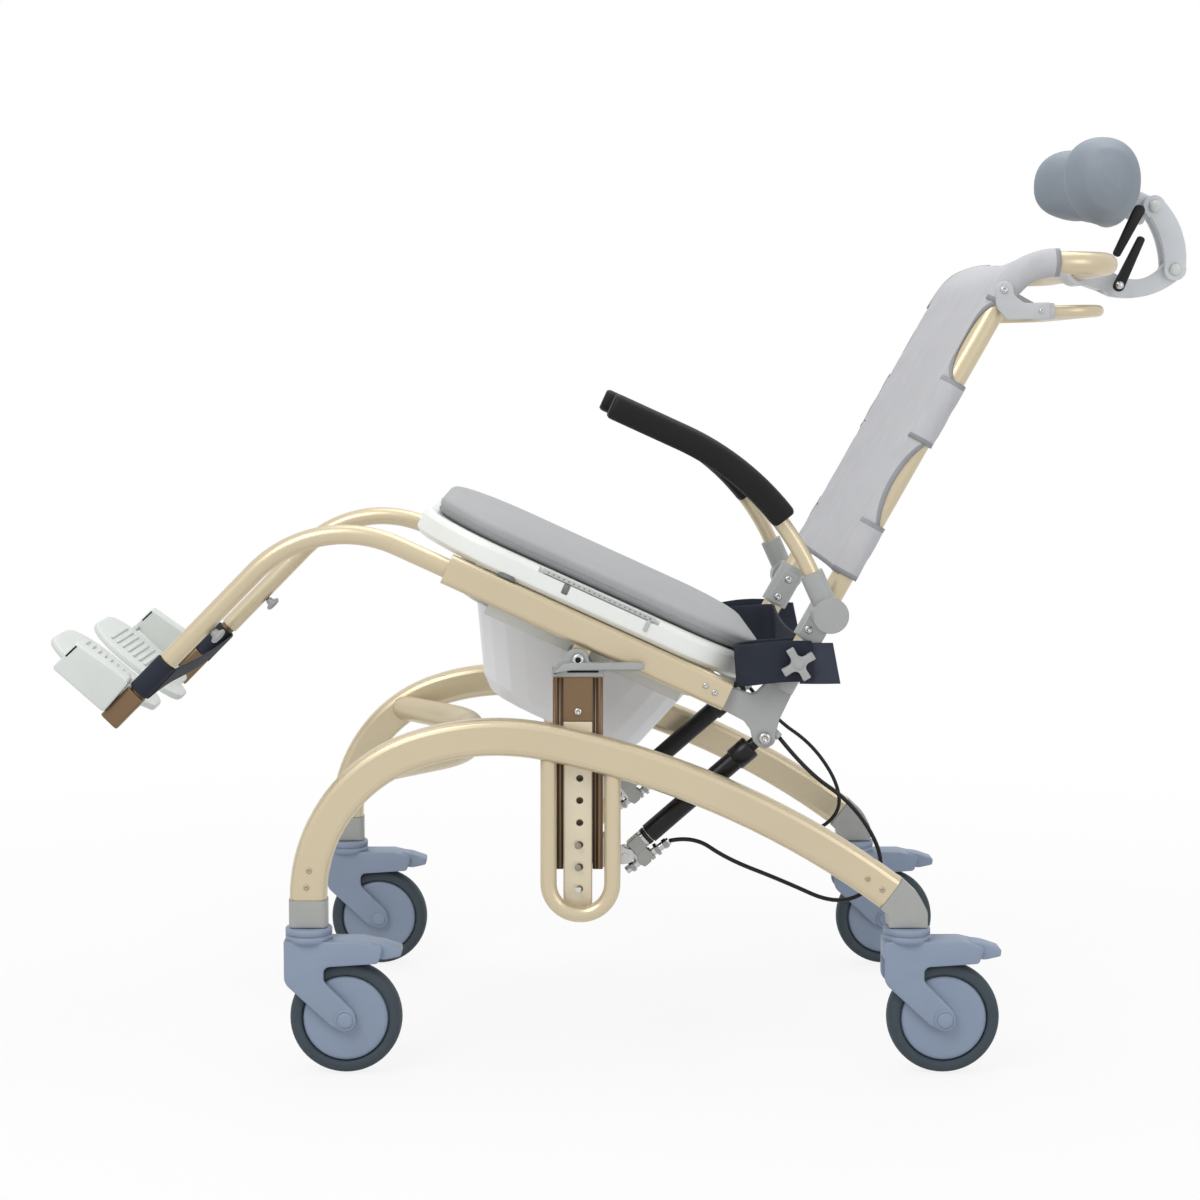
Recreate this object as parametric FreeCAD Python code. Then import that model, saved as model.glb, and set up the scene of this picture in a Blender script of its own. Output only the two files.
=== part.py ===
import FreeCAD, Part
import math
import os

# Reclining shower chair. Millimetres, +Z up, the chair faces -X, the sitter's left is -Y.
# The seat is drawn level with its pivot pin at (0, 0) and is then turned back by seat_tilt.
V = FreeCAD.Vector
os.makedirs("parts", exist_ok=True)

# Base: side rails, cross tube, guard loops
track = 500.0
rail_width = 28.0
rail_depth = 40.6
rail_corner = 8.0
rail_wall = 2.5
rail_foot_z = 195.5
rail_lead = 1.5
rail_front_radius = 174.0
rail_front_turn = 71.2
rail_crown_radius = 281.0
rail_crown_turn = 30.0
rail_rear_radius = 958.0
rail_rear_turn = 25.2
front_swivel_x = -359.3
elbow_reach = 19.0
fitting_width = 42.6
fitting_foot_z = 165.0
cross_tube_r = 16.0
cross_tube_z = 340.0
cross_tube_end_x = -279.0
cross_tube_bow = 89.0
guard_r = 9.0
guard_span = 70.8
guard_bottom_z = 168.5

# Casters
wheel_r = 62.5
hub_r = 48.0
tyre_width = 28.0
caster_trail = 41.0
fork_wall = 5.0
wheel_side_gap = 2.0
axle_r = 5.0
stem_r = 6.0
head_disc_r = 26.0
head_disc_height = 13.6
head_gap = 0.7
pedal_pivot_x = 58.0
pedal_pivot_drop = 25.0
pedal_length = 47.0
pedal_width = 31.0

# Height adjustment: guide profile on the rail, brown column on the seat
pivot_x = -60.3
pivot_z = 460.4
guide_width = 32.4
guide_depth = 24.0
guide_foot_z = 182.0
guide_height = 209.0
guide_hole_r = 4.0
guide_hole_pitch = 25.0
guide_hole_count = 6
column_width = 56.0
column_depth = 36.0
column_wall = 4.5
column_foot_z = 225.0
column_top_z = 441.4
column_rail_gap = 2.0
slide_gap = 0.4
stop_gap = 0.3
lift_travel = 100.0

# Seat pivot and its bracket
pivot_pin_r = 5.0
pivot_boss_r = 12.0
bracket_cheek = 7.5
bracket_cap = 5.6
bracket_arm_reach = 70.0
bracket_arm_height = 9.0
lug_width = 20.0
lug_r = 10.0

# Seat frame, level, from the pivot pin
seat_tilt = 24.5
seat_rail_setback = 22.0
seat_rail_front = -174.0
seat_rail_rear = 170.0
seat_rail_axis_z = 30.0
seat_rail_height = 34.0
seat_rail_width = 28.0
seat_rail_corner = 7.0
leg_tube_r = 11.0
leg_bore_r = 9.0
run_gap = 0.05
seat_cross_r = 10.0
plate_thick = 12.0

# Back frame
back_tube_r = 12.5
back_tube_wall = 2.0
back_base_x = 221.7
back_base_z = 100.9
back_lean = 4.6
back_corner_z = 599.0
back_bend_r = 60.0
bow_rise = 24.5
bow_reach = 106.0
bow_corner_r = 62.0
socket_r = 16.5
socket_low = 62.0
socket_high = 112.0

# Seat ring, lid and pan
ring_front = -226.0
ring_rear = 190.0
ring_half = 222.0
ring_low = 48.0
ring_high = 77.0
ring_corner_front = 105.0
ring_corner_rear = 95.0
aperture_length = 235.0
aperture_width = 190.0
aperture_x = 3.0
lid_inset = 8.0
lid_gap = 0.6
lid_band = 19.0
lid_crown = 8.0
pan_top_length = 269.0
pan_top_x = 4.5
pan_half = 150.0
pan_rim = 18.0
pan_rim_z = 3.5
pan_floor_z = -94.0
pan_wall = 2.5
pan_travel = 250.0

# Gas springs
gas_upper_x = 227.0
gas_upper_z = 4.3
gas_lower_x = -6.7
gas_lower_z = 234.9
gas_inset = 14.0
gas_tube_r = 11.5
gas_rod_r = 5.0
gas_pin_r = 4.0
gas_eye_r = 10.0
gas_eye_width = 14.0
gas_neck = 18.0
gas_tail = 36.0
open_pivot_gap = 2.0

# Legs and feet
leg_corner_x = -333.0
leg_bend_r = 140.0
leg_drop = 70.0
leg_lower_length = 238.0
leg_insert = 114.0
leg_pull_left = 12.0
bar_out = 93.6
bar_in = 110.0
knob_back = 59.5
knob_reach = 24.5
knob_disc_r = 9.5
foot_length = 117.0
foot_heel = 13.0
foot_tilt = 6.5
foot_thick = 8.0
foot_inner_y = 11.0
foot_box_depth = 33.0
foot_hinge_r = 6.0
foot_pin_r = 2.5
strap_width = 46.0
strap_thick = 3.0

# Armrests
arm_boss_x = 228.5
arm_boss_z = 162.0
arm_boss_r = 19.5
arm_boss_width = 33.0
arm_pin_r = 7.0
arm_tube_r = 9.0
arm_rise = 41.0
arm_neck = 50.0
arm_bend_r = 290.0
arm_tip_x = -84.0
pad_height = 29.0
pad_width = 41.0
pad_lift = 5.0
pad_rear_turn = 28.0

# Release bar
release_x = 254.5
release_z = 562.2
release_bar_r = 6.5
release_arm_width = 8.0
release_start_x = 303.0
release_start_z = 559.5
release_end_x = 373.3
release_end_z = 593.4

# Headrest
head_low_x = 405.6
head_low_z = 644.2
head_mid_x = 460.6
head_mid_z = 690.1
head_top_x = 406.3
head_top_z = 746.2
head_arm_width = 16.0
head_cheek = 7.5
head_gap_side = 0.5
head_boss_r = 13.0
head_pin_r = 5.0

# Release cables
cable_r = 2.4

# Values that follow from the sizes above
rail_y = track / 2
rail_inner_y = rail_y - rail_width / 2
column_out_y = rail_inner_y - column_rail_gap
column_in_y = column_out_y - column_depth
seat_y = column_out_y - seat_rail_setback
gas_y = seat_y - gas_inset
tilt = math.radians(seat_tilt)
lean = math.radians(back_lean)
drop = math.radians(leg_drop)


def export(name, *solids):
    """Write one node as one file."""
    Part.makeCompound(list(solids)).exportStep("parts/" + name + ".step")
    print(name, round(sum(s.Volume for s in solids) / 1000, 1), "cm3", all(s.isValid() for s in solids))


def mirrored(shape):
    return shape.mirror(V(0, 0, 0), V(0, 1, 0))


def seated(shape):
    """Turn a level seat piece back and carry it to the pivot."""
    moved = shape.copy()
    moved.rotate(V(0, 0, 0), V(0, 1, 0), seat_tilt)
    moved.translate(V(pivot_x, 0, pivot_z))
    return moved


def seat_point(x, y, z):
    """Real place of a point that is given on the level seat."""
    return V(pivot_x + x * math.cos(tilt) + z * math.sin(tilt), y,
             pivot_z - x * math.sin(tilt) + z * math.cos(tilt))


def rod(p, q, r):
    return Part.makeCylinder(r, (q - p).Length, p, q - p)


def cross_rod(x, z, y0, y1, r):
    """Cylinder that lies across the chair."""
    return Part.makeCylinder(r, abs(y1 - y0), V(x, min(y0, y1), z), V(0, 1, 0))


def box(x0, x1, y0, y1, z0, z1):
    return Part.makeBox(x1 - x0, y1 - y0, z1 - z0, V(x0, y0, z0))


def unit(v):
    return V(v).normalize()


def route(points, radii):
    """Straight runs joined by tangent arcs, one radius for each inner point."""
    edges = []
    start = points[0]
    for i in range(1, len(points) - 1):
        a = unit(points[i] - points[i - 1])
        b = unit(points[i + 1] - points[i])
        half = a.getAngle(b) / 2
        reach = radii[i - 1] * math.tan(half)
        begin = points[i] - a * reach
        end = points[i] + b * reach
        middle = points[i] + unit(b - a) * (radii[i - 1] / math.cos(half) - radii[i - 1])
        if (begin - start).Length > 1e-3:
            edges.append(Part.LineSegment(start, begin).toShape())
        edges.append(Part.Arc(begin, middle, end).toShape())
        start = end
    if (points[-1] - start).Length > 1e-3:
        edges.append(Part.LineSegment(start, points[-1]).toShape())
    return Part.Wire(edges)


def swept(path, section):
    """Solid that a section leaves as it is carried along straight runs and arcs."""
    wire = section.copy()
    runs = []
    for edge in path.Edges:
        begin, end = edge.FirstParameter, edge.LastParameter
        face = Part.Face(wire)
        if isinstance(edge.Curve, Part.Circle):
            turn = math.degrees(end - begin)
            run = face.revolve(edge.Curve.Center, edge.Curve.Axis, turn)
            wire.rotate(edge.Curve.Center, edge.Curve.Axis, turn)
        else:
            step = edge.valueAt(end) - edge.valueAt(begin)
            run = face.extrude(step)
            wire.translate(step)
        if run.Volume < 0:
            run.reverse()
        runs.append(run)
    solid = runs[0]
    if len(runs) > 1:
        solid = runs[0].multiFuse(runs[1:]).removeSplitter()
    return max(solid.Solids, key=lambda s: s.Volume)


def pipe(path, r, sides=0):
    """Bar along a path: round, or with a number of flat sides."""
    first = path.Edges[0]
    place = first.valueAt(first.FirstParameter)
    tangent = first.tangentAt(first.FirstParameter)
    if sides == 0:
        return swept(path, Part.Wire([Part.Circle(place, tangent, r).toShape()]))
    side_way = V(1, 0, 0) if abs(tangent.y) > 0.9 else V(0, 1, 0)
    side_way = unit(side_way - tangent * side_way.dot(tangent))
    other = unit(tangent.cross(side_way))
    turns = [2 * math.pi * k / sides for k in range(sides + 1)]
    ring = [place + side_way * (r * math.cos(turn)) + other * (r * math.sin(turn)) for turn in turns]
    ring[-1] = ring[0]
    return swept(path, Part.makePolygon(ring))


def bent_bar(points, radii, r, sides=0):
    return pipe(route(points, radii), r, sides)


def outline(points, radii, chords=0):
    """Closed outline through points with rounded corners; a radius of 0 keeps a corner sharp.

    With chords, each rounded corner is that many short straight edges.
    """
    count = len(points)
    edges = []
    ends = []
    for i in range(count):
        p = points[i]
        a = unit(p - points[i - 1])
        b = unit(points[(i + 1) % count] - p)
        if radii[i] <= 0:
            ends.append((p, p, None))
            continue
        half = a.getAngle(b) / 2
        reach = radii[i] * math.tan(half)
        middle = p + unit(b - a) * (radii[i] / math.cos(half) - radii[i])
        ends.append((p - a * reach, p + b * reach, middle))
    for i in range(count):
        begin, end, middle = ends[i]
        if middle is not None and chords:
            inward = unit((begin + end) * 0.5 - points[i])
            half = (points[i] - points[i - 1]).getAngle(points[(i + 1) % count] - points[i]) / 2
            centre = points[i] + inward * (radii[i] / math.cos(half))
            corner = []
            spread = 1 / math.sin(2 * half)
            for k in range(chords + 1):
                part = 2 * half * k / chords
                corner.append(centre + (begin - centre) * (spread * math.sin(2 * half - part))
                              + (end - centre) * (spread * math.sin(part)))
            for p, q in zip(corner, corner[1:]):
                edges.append(Part.LineSegment(p, q).toShape())
        elif middle is not None:
            edges.append(Part.Arc(begin, middle, end).toShape())
        following = ends[(i + 1) % count][0]
        if (following - end).Length > 1e-4:
            edges.append(Part.LineSegment(end, following).toShape())
    return Part.Wire(edges)


def side_plate(points, radii, y0, y1):
    """Plate that stands fore and aft: outline in X and Z, thickness across the chair."""
    low = min(y0, y1)
    wire = outline([V(x, low, z) for x, z in points], radii)
    return Part.Face(wire).extrude(V(0, abs(y1 - y0), 0))


def round_box(x0, x1, y0, y1, z0, z1, r):
    """Upright block with rounded vertical corners."""
    corners = [V(x0, y0, z0), V(x1, y0, z0), V(x1, y1, z0), V(x0, y1, z0)]
    return Part.Face(outline(corners, [r] * 4)).extrude(V(0, 0, z1 - z0))


def seat_outline(front, rear, half, corner_front, corner_rear, z, chords=0):
    corners = [V(front, -half, z), V(rear, -half, z), V(rear, half, z), V(front, half, z)]
    return outline(corners, [corner_front, corner_rear, corner_rear, corner_front], chords)


def stack(wires):
    """Solid through a stack of like outlines, with straight walls between them."""
    return Part.makeLoft(wires, True, True)


# Side rail: a rounded box tube along an arch of three arcs, with the wall the same all round
def arch():
    """Centre line of the rail, its end point and its end heading."""
    point = V(front_swivel_x, -rail_y, rail_foot_z)
    heading = 90.0
    top = point + V(0, 0, rail_lead)
    edges = [Part.LineSegment(point, top).toShape()]
    point = top
    arcs = ((rail_front_radius, rail_front_turn), (rail_crown_radius, rail_crown_turn),
            (rail_rear_radius, rail_rear_turn))
    for radius, turn in arcs:
        places = []
        for part in (0.0, 0.5, 1.0):
            now = math.radians(heading - turn * part)
            begin = math.radians(heading)
            places.append(point + V(radius * (math.sin(begin) - math.sin(now)), 0,
                                    radius * (math.cos(now) - math.cos(begin))))
        edges.append(Part.Arc(places[0], places[1], places[2]).toShape())
        point = places[2]
        heading -= turn
    return Part.Wire(edges), point, math.radians(heading)


rail_line, rail_end, rail_heading = arch()
half_depth = rail_depth / 2
half_rail = rail_width / 2


def rail_section(grow, corner):
    x0 = front_swivel_x - half_depth - grow
    x1 = front_swivel_x + half_depth + grow
    y0 = -rail_y - half_rail - grow
    y1 = -rail_y + half_rail + grow
    corners = [V(x0, y0, rail_foot_z), V(x1, y0, rail_foot_z), V(x1, y1, rail_foot_z),
               V(x0, y1, rail_foot_z)]
    return outline(corners, [corner] * 4, 2)


rail_filled = swept(rail_line, rail_section(0.0, rail_corner))
rail_hollow = swept(rail_line, rail_section(-rail_wall, 0.0))
left_rail = rail_filled.cut(rail_hollow)
export("side_rails", left_rail, mirrored(left_rail))

# End fittings: a plug under the front end, an elbow at the rear end, each with a spigot in the rail
rear_swivel_x = rail_end.x + elbow_reach
stem_top_z = fitting_foot_z + 20.0
along = V(math.cos(rail_heading), 0, math.sin(rail_heading))
across = V(-math.sin(rail_heading), 0, math.cos(rail_heading))
spigot_half = half_depth - rail_wall - 0.9
spigot_side = half_rail - rail_wall - 0.4
half_fitting = fitting_width / 2
plug = round_box(front_swivel_x - half_fitting, front_swivel_x + half_fitting, -rail_y - half_rail - 0.8,
                 -rail_y + half_rail + 0.8, fitting_foot_z, rail_foot_z, rail_corner)
plug = plug.fuse(box(front_swivel_x - spigot_half, front_swivel_x + spigot_half, -rail_y - spigot_side,
                     -rail_y + spigot_side, rail_foot_z - 1, rail_foot_z + 12))
upper = rail_end + across * half_depth
lower = rail_end - across * half_depth
elbow_points = [(upper.x, upper.z), (rear_swivel_x + 0.55 * half_fitting, rail_end.z - 1.0),
                (rear_swivel_x + half_fitting, fitting_foot_z + 18.0),
                (rear_swivel_x + half_fitting, fitting_foot_z),
                (rear_swivel_x - half_fitting, fitting_foot_z),
                (rear_swivel_x - half_fitting - 1.5, fitting_foot_z + 13.5),
                (lower.x, lower.z)]
elbow = side_plate(elbow_points, [0, 26.0, 16.0, 0, 0, 5.0, 0], -rail_y - half_rail - 0.6,
                   -rail_y + half_rail + 0.6)
spigot = outline([rail_end + V(0, -spigot_side, 0) + across * spigot_half,
                  rail_end + V(0, spigot_side, 0) + across * spigot_half,
                  rail_end + V(0, spigot_side, 0) - across * spigot_half,
                  rail_end + V(0, -spigot_side, 0) - across * spigot_half], [0] * 4)
spigot.translate(along)
elbow = elbow.fuse(Part.Face(spigot).extrude(along * -22.0))
fittings = []
stems = []
for fitting, swivel_x in ((plug, front_swivel_x), (elbow, rear_swivel_x)):
    stem = Part.makeCylinder(stem_r, stem_top_z - fitting_foot_z + 26.0,
                             V(swivel_x, -rail_y, fitting_foot_z - 26.0))
    fitting = fitting.cut(stem)
    fittings += [fitting, mirrored(fitting)]
    stems += [stem, mirrored(stem)]
export("rail_end_fittings", *fittings)
export("caster_stems", *stems)

# Cross tube: bowed to the rear so that the feet and the pan clear it, welded to both rails
bow_x = cross_tube_end_x + cross_tube_bow
bow_points = [V(cross_tube_end_x - 6.0, -rail_inner_y - 8.0, cross_tube_z),
              V(bow_x, -0.5 * rail_inner_y, cross_tube_z),
              V(bow_x, 0.5 * rail_inner_y, cross_tube_z),
              V(cross_tube_end_x - 6.0, rail_inner_y + 8.0, cross_tube_z)]
cross_tube = bent_bar(bow_points, [150.0, 150.0], cross_tube_r)
cross_tube = cross_tube.cut(bent_bar(bow_points, [150.0, 150.0], cross_tube_r - 2.0, 8))
cross_tube = cross_tube.cut(rail_filled).cut(mirrored(rail_filled))
cross_tube = max(cross_tube.Solids, key=lambda s: s.Volume)
export("cross_tube", cross_tube)

# Guard loop: a round U under each rail that keeps hands and cloth away from the guide
loop_low = guard_bottom_z + guard_r
loop_half = guard_span / 2
loop_points = [V(pivot_x + 2.8 - loop_half, -rail_y, column_foot_z + 140.0),
               V(pivot_x + 2.8 - loop_half, -rail_y, loop_low),
               V(pivot_x + 2.8 + loop_half, -rail_y, loop_low),
               V(pivot_x + 2.8 + loop_half, -rail_y, column_foot_z + 140.0)]
loop = bent_bar(loop_points, [loop_half - 0.5] * 2, guard_r, 16)
loop = max(loop.cut(rail_filled).Solids, key=lambda s: s.Volume)
export("guard_loops", loop, mirrored(loop))

# Guide profile: box section screwed to the inner side of the rail, drilled for the height pin
guide_top_z = guide_foot_z + guide_height
guide_half = guide_width / 2
guide_in_y = rail_inner_y - guide_depth
guide = round_box(pivot_x - guide_half, pivot_x + guide_half, -rail_inner_y, -guide_in_y,
                  guide_foot_z, guide_top_z, 2.0)
guide = guide.cut(box(pivot_x - guide_half + 3, pivot_x + guide_half - 3, -rail_inner_y + 3,
                      -guide_in_y - 3,
                      guide_foot_z - 1, guide_top_z + 1))
for i in range(guide_hole_count):
    hole_z = guide_foot_z + 20.8 + i * guide_hole_pitch
    hole_ends = [V(pivot_x + 2.0, -rail_inner_y - 1, hole_z), V(pivot_x + 2.0, -rail_inner_y + 5, hole_z)]
    guide = guide.cut(bent_bar(hole_ends, [], guide_hole_r, 10))
tie = cross_rod(pivot_x + 2.8, loop_low, -rail_y + guard_r - 4.0, -rail_inner_y, 5.0).cut(loop)
guide = guide.fuse(max(tie.Solids, key=lambda s: s.Volume))
export("guide_profiles", guide, mirrored(guide))

# Lift column: C profile that grips the guide with its two lips, closed at the top by a stop block
column_half = column_width / 2
lip_half = guide_half + slide_gap
column = round_box(pivot_x - column_half, pivot_x + column_half, -column_out_y, -column_in_y,
                   column_foot_z, column_top_z, 2.5)
column = column.cut(box(pivot_x - column_half + column_wall, pivot_x + column_half - column_wall,
                        -column_out_y + column_wall, -column_in_y - column_wall, column_foot_z - 1,
                        column_top_z + 1))
column = column.cut(box(pivot_x - lip_half, pivot_x + lip_half, -column_out_y - 1,
                        -column_in_y - column_wall,
                        column_foot_z - 1, column_top_z + 1))
column = column.fuse(box(pivot_x - lip_half, pivot_x + lip_half, -column_out_y + 1.0,
                         -column_in_y - column_wall,
                         guide_top_z + stop_gap, column_top_z))
export("lift_columns", column, mirrored(column))

# Pivot bracket: cap on the column, two cheeks for the pivot pin, and the arm that guards the gap
# beside the seat rail
rail_out_y = seat_y + seat_rail_width / 2
rail_in_y = seat_y - seat_rail_width / 2
cheek_out = rail_out_y + 2.0
cheek_in = rail_in_y - 2.0
cap_low = column_top_z - pivot_z
cheek_points = [(-column_half - 1, cap_low), (-column_half - 1, cap_low + bracket_cap),
                (-pivot_boss_r * 0.7, pivot_boss_r * 0.95),
                (pivot_boss_r * 0.75, pivot_boss_r * 0.95), (pivot_boss_r + 1.0, -3.5),
                (bracket_arm_reach, -3.5),
                (bracket_arm_reach, -3.5 - bracket_arm_height),
                (column_half + 1, -3.5 - bracket_arm_height),
                (column_half + 1, cap_low)]
cheek_radii = [0, 3.0, 9.0, 9.0, 4.0, 4.0, 4.0, 2.0, 0]
outer_cheek = side_plate(cheek_points, cheek_radii, -cheek_out - bracket_cheek, -cheek_out)
inner_points = [(-column_half + 6, cap_low), (-pivot_boss_r, 0), (-pivot_boss_r * 0.8, pivot_boss_r),
                (pivot_boss_r * 0.8, pivot_boss_r),
                (pivot_boss_r, 0), (column_half - 6, cap_low)]
inner_cheek = side_plate(inner_points, [0, 4.0, 7.0, 7.0, 4.0, 0], -cheek_in, -cheek_in + bracket_cheek)
bracket = outer_cheek.fuse(inner_cheek)
bracket = bracket.fuse(box(-column_half - 1, column_half + 1, -cheek_out - bracket_cheek,
                           -cheek_in + bracket_cheek,
                           cap_low, cap_low + bracket_cap))
bracket = bracket.fuse(cross_rod(0, 0, -cheek_out - bracket_cheek - 2.5, -cheek_in + bracket_cheek + 2.5,
                                 pivot_pin_r))
bracket = bracket.removeSplitter()
bracket.translate(V(pivot_x, 0, pivot_z))
export("pivot_brackets", bracket, mirrored(bracket))

# Gas bracket: steel angle on the rear side of the column with the pin for the lower eye
foot_x = pivot_x + column_half
ear_in = gas_y + gas_eye_width / 2 + 1.0
ear = side_plate([(foot_x, gas_lower_z - 8), (gas_lower_x - 2, gas_lower_z - 9),
                  (gas_lower_x + 9, gas_lower_z - 6),
                  (gas_lower_x + 9, gas_lower_z + 7), (gas_lower_x, gas_lower_z + 9),
                  (foot_x, gas_lower_z + 26)],
                 [0, 4.0, 5.0, 5.0, 6.0, 0], -ear_in - 6.0, -ear_in)
ear = ear.fuse(box(foot_x, foot_x + 4, -column_out_y + 2, -column_in_y - 2, gas_lower_z - 8,
                   gas_lower_z + 26))
ear = ear.fuse(cross_rod(gas_lower_x, gas_lower_z, -ear_in - 8.0, -gas_y + gas_eye_width / 2 + 2.0,
                         gas_pin_r))
export("gas_brackets", ear, mirrored(ear))

# Casters: fork with swivel head, wheel of hub and tyre, brake pedal on a cross pin
axle_z = wheel_r
head_top_z_caster = fitting_foot_z - head_gap
head_low_z_caster = head_top_z_caster - head_disc_height
fork_in = tyre_width / 2 + wheel_side_gap
fork_out = fork_in + fork_wall
pedal_pivot_z = head_top_z_caster - pedal_pivot_drop


def caster_fork():
    points = [(-head_disc_r, head_low_z_caster), (-head_disc_r, head_low_z_caster - 35),
              (caster_trail - 14, axle_z - 12),
              (caster_trail + 17, axle_z - 16), (caster_trail + 17, axle_z + 12), (22, axle_z + 44),
              (22, axle_z + 60),
              (pedal_pivot_x - 14, axle_z + 66), (pedal_pivot_x - 12, head_low_z_caster),
              (head_disc_r, head_low_z_caster)]
    radii = [0, 16.0, 10.0, 15.0, 12.0, 10.0, 7.0, 3.0, 5.0, 0]
    body = side_plate(points, radii, -fork_out, fork_out)
    body = body.cut(cross_rod(caster_trail, axle_z, -fork_in, fork_in, wheel_r + 4.0))
    body = body.fuse(Part.makeCylinder(head_disc_r, head_disc_height, V(0, 0, head_low_z_caster)))
    ear_points = [(pedal_pivot_x - 20, pedal_pivot_z + 8), (pedal_pivot_x + 8, pedal_pivot_z + 8),
                  (pedal_pivot_x + 8, pedal_pivot_z - 8), (pedal_pivot_x - 20, pedal_pivot_z - 10)]
    for low in (-fork_out, fork_in):
        body = body.fuse(side_plate(ear_points, [0, 7.5, 7.5, 0], low, low + fork_wall))
    body = body.fuse(cross_rod(pedal_pivot_x, pedal_pivot_z, -fork_out, fork_out, 2.5))
    body = body.fuse(cross_rod(caster_trail, axle_z, -fork_out - 2.5, fork_out + 2.5, axle_r))
    for low in (-fork_out - 3.0, fork_out):
        body = body.fuse(cross_rod(caster_trail, axle_z, low, low + 3.0, 11.0))
    hole = Part.makeCylinder(stem_r + run_gap, 60.0, V(0, 0, fitting_foot_z - 26.0 - 0.5))
    return body.cut(hole).removeSplitter()


def caster_wheel():
    half = tyre_width / 2
    side = half - 1
    hub = cross_rod(caster_trail, axle_z, -side, side, hub_r)
    hub = hub.cut(cross_rod(caster_trail, axle_z, -tyre_width, tyre_width, axle_r + run_gap))
    section = [(-side, hub_r), (-half, wheel_r - 8.0), (-0.42 * half, wheel_r), (0.42 * half, wheel_r),
               (half, wheel_r - 8.0), (side, hub_r)]
    wire = outline([V(caster_trail, y, axle_z + r) for y, r in section], [0] * 6)
    tyre = Part.Face(wire).revolve(V(caster_trail, 0, axle_z), V(0, 1, 0), 360)
    return hub, tyre


def brake_pedal():
    px, pz = pedal_pivot_x, pedal_pivot_z
    half = fork_in - 1.0
    hub = cross_rod(px, pz, -half, half, 6.5)
    blade = side_plate([(px, pz + 6), (px + pedal_length - 8, pz + 1), (px + pedal_length, pz - 6),
                        (px + pedal_length - 6, pz - 11), (px, pz - 4)], [0, 12.0, 3.0, 3.0, 0],
                        -pedal_width / 2, pedal_width / 2)
    pedal = hub.fuse(blade.common(box(px, px + 80, -half, half, pz - 40, pz + 40)))
    return pedal.cut(cross_rod(px, pz, -half - 1, half + 1, 2.5 + run_gap)).removeSplitter()


fork, pedal = caster_fork(), brake_pedal()
wheel_hub, wheel_tyre = caster_wheel()
for end, swivel_x in (("front", front_swivel_x), ("rear", rear_swivel_x)):
    for side, sign in (("left", -1), ("right", 1)):
        place = V(swivel_x, sign * rail_y, 0)
        name = end + "_" + side
        export("caster_fork_" + name, fork.translated(place))
        export("brake_pedal_" + name, pedal.translated(place))
        export("caster_wheel_" + name, wheel_hub.translated(place), wheel_tyre.translated(place))

# Seat frame: two rails that take the leg tubes, with pivot lugs below and two cross tubes
rail_low = seat_rail_axis_z - seat_rail_height / 2
rail_high = seat_rail_axis_z + seat_rail_height / 2
corners = [V(seat_rail_front, -rail_out_y, rail_low), V(seat_rail_front, -rail_in_y, rail_low),
           V(seat_rail_front, -rail_in_y, rail_high), V(seat_rail_front, -rail_out_y, rail_high)]
rail_length = seat_rail_rear - seat_rail_front
seat_rail = Part.Face(outline(corners, [seat_rail_corner] * 4)).extrude(V(rail_length, 0, 0))
lug = side_plate([(-lug_r, rail_low + 4), (-lug_r, -lug_r), (lug_r, -lug_r), (lug_r, rail_low + 4)],
                 [0, 9.9, 9.9, 0],
                 -seat_y - lug_width / 2, -seat_y + lug_width / 2)
lug = lug.cut(cross_rod(0, 0, -rail_y, 0, pivot_pin_r + run_gap))
seat_rail = seat_rail.fuse(lug)
seat_rail = seat_rail.cut(Part.makeCylinder(leg_tube_r + run_gap, rail_length + 2,
                                            V(seat_rail_front - 1, -seat_y, seat_rail_axis_z), V(1, 0, 0)))
seat_frame = seat_rail.fuse(mirrored(seat_rail))
for x in (seat_rail_front + 18.0, seat_rail_rear - 18.0):
    bar = cross_rod(x, seat_rail_axis_z, -rail_in_y - 1.5, rail_in_y + 1.5, seat_cross_r)
    bar = bar.cut(cross_rod(x, seat_rail_axis_z, -rail_in_y + 2, rail_in_y - 2, seat_cross_r - 2))
    seat_frame = seat_frame.fuse(bar)
export("seat_frame", seated(seat_frame.removeSplitter()))


# Back frame: one tube, up from the socket, bent to the rear and round as the push bow
def back_x(z):
    """Axis of the back tube at a height."""
    return back_base_x + math.tan(lean) * (z - back_base_z)


rise = math.radians(bow_rise)
corner_x = back_x(back_corner_z)
bow_x_end = corner_x + bow_reach * math.cos(rise)
bow_z_end = back_corner_z + bow_reach * math.sin(rise)
back_points = [V(back_x(socket_low + 6), -seat_y, socket_low + 6), V(corner_x, -seat_y, back_corner_z),
               V(bow_x_end, -seat_y, bow_z_end),
               V(bow_x_end, seat_y, bow_z_end), V(corner_x, seat_y, back_corner_z),
               V(back_x(socket_low + 6), seat_y, socket_low + 6)]
back_radii = [back_bend_r, bow_corner_r, bow_corner_r, back_bend_r]
back_filled = bent_bar(back_points, back_radii, back_tube_r)
back_frame = back_filled.cut(bent_bar(back_points, back_radii, back_tube_r - back_tube_wall, 8))
pin_in = seat_y - back_tube_r - 5.0
for sign in (-1, 1):
    pin = cross_rod(release_x, release_z, sign * (seat_y - 6), sign * (pin_in - release_arm_width - 2.0),
                    4.0)
    back_frame = back_frame.fuse(pin)
export("back_frame", seated(back_frame.removeSplitter()))

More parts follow.
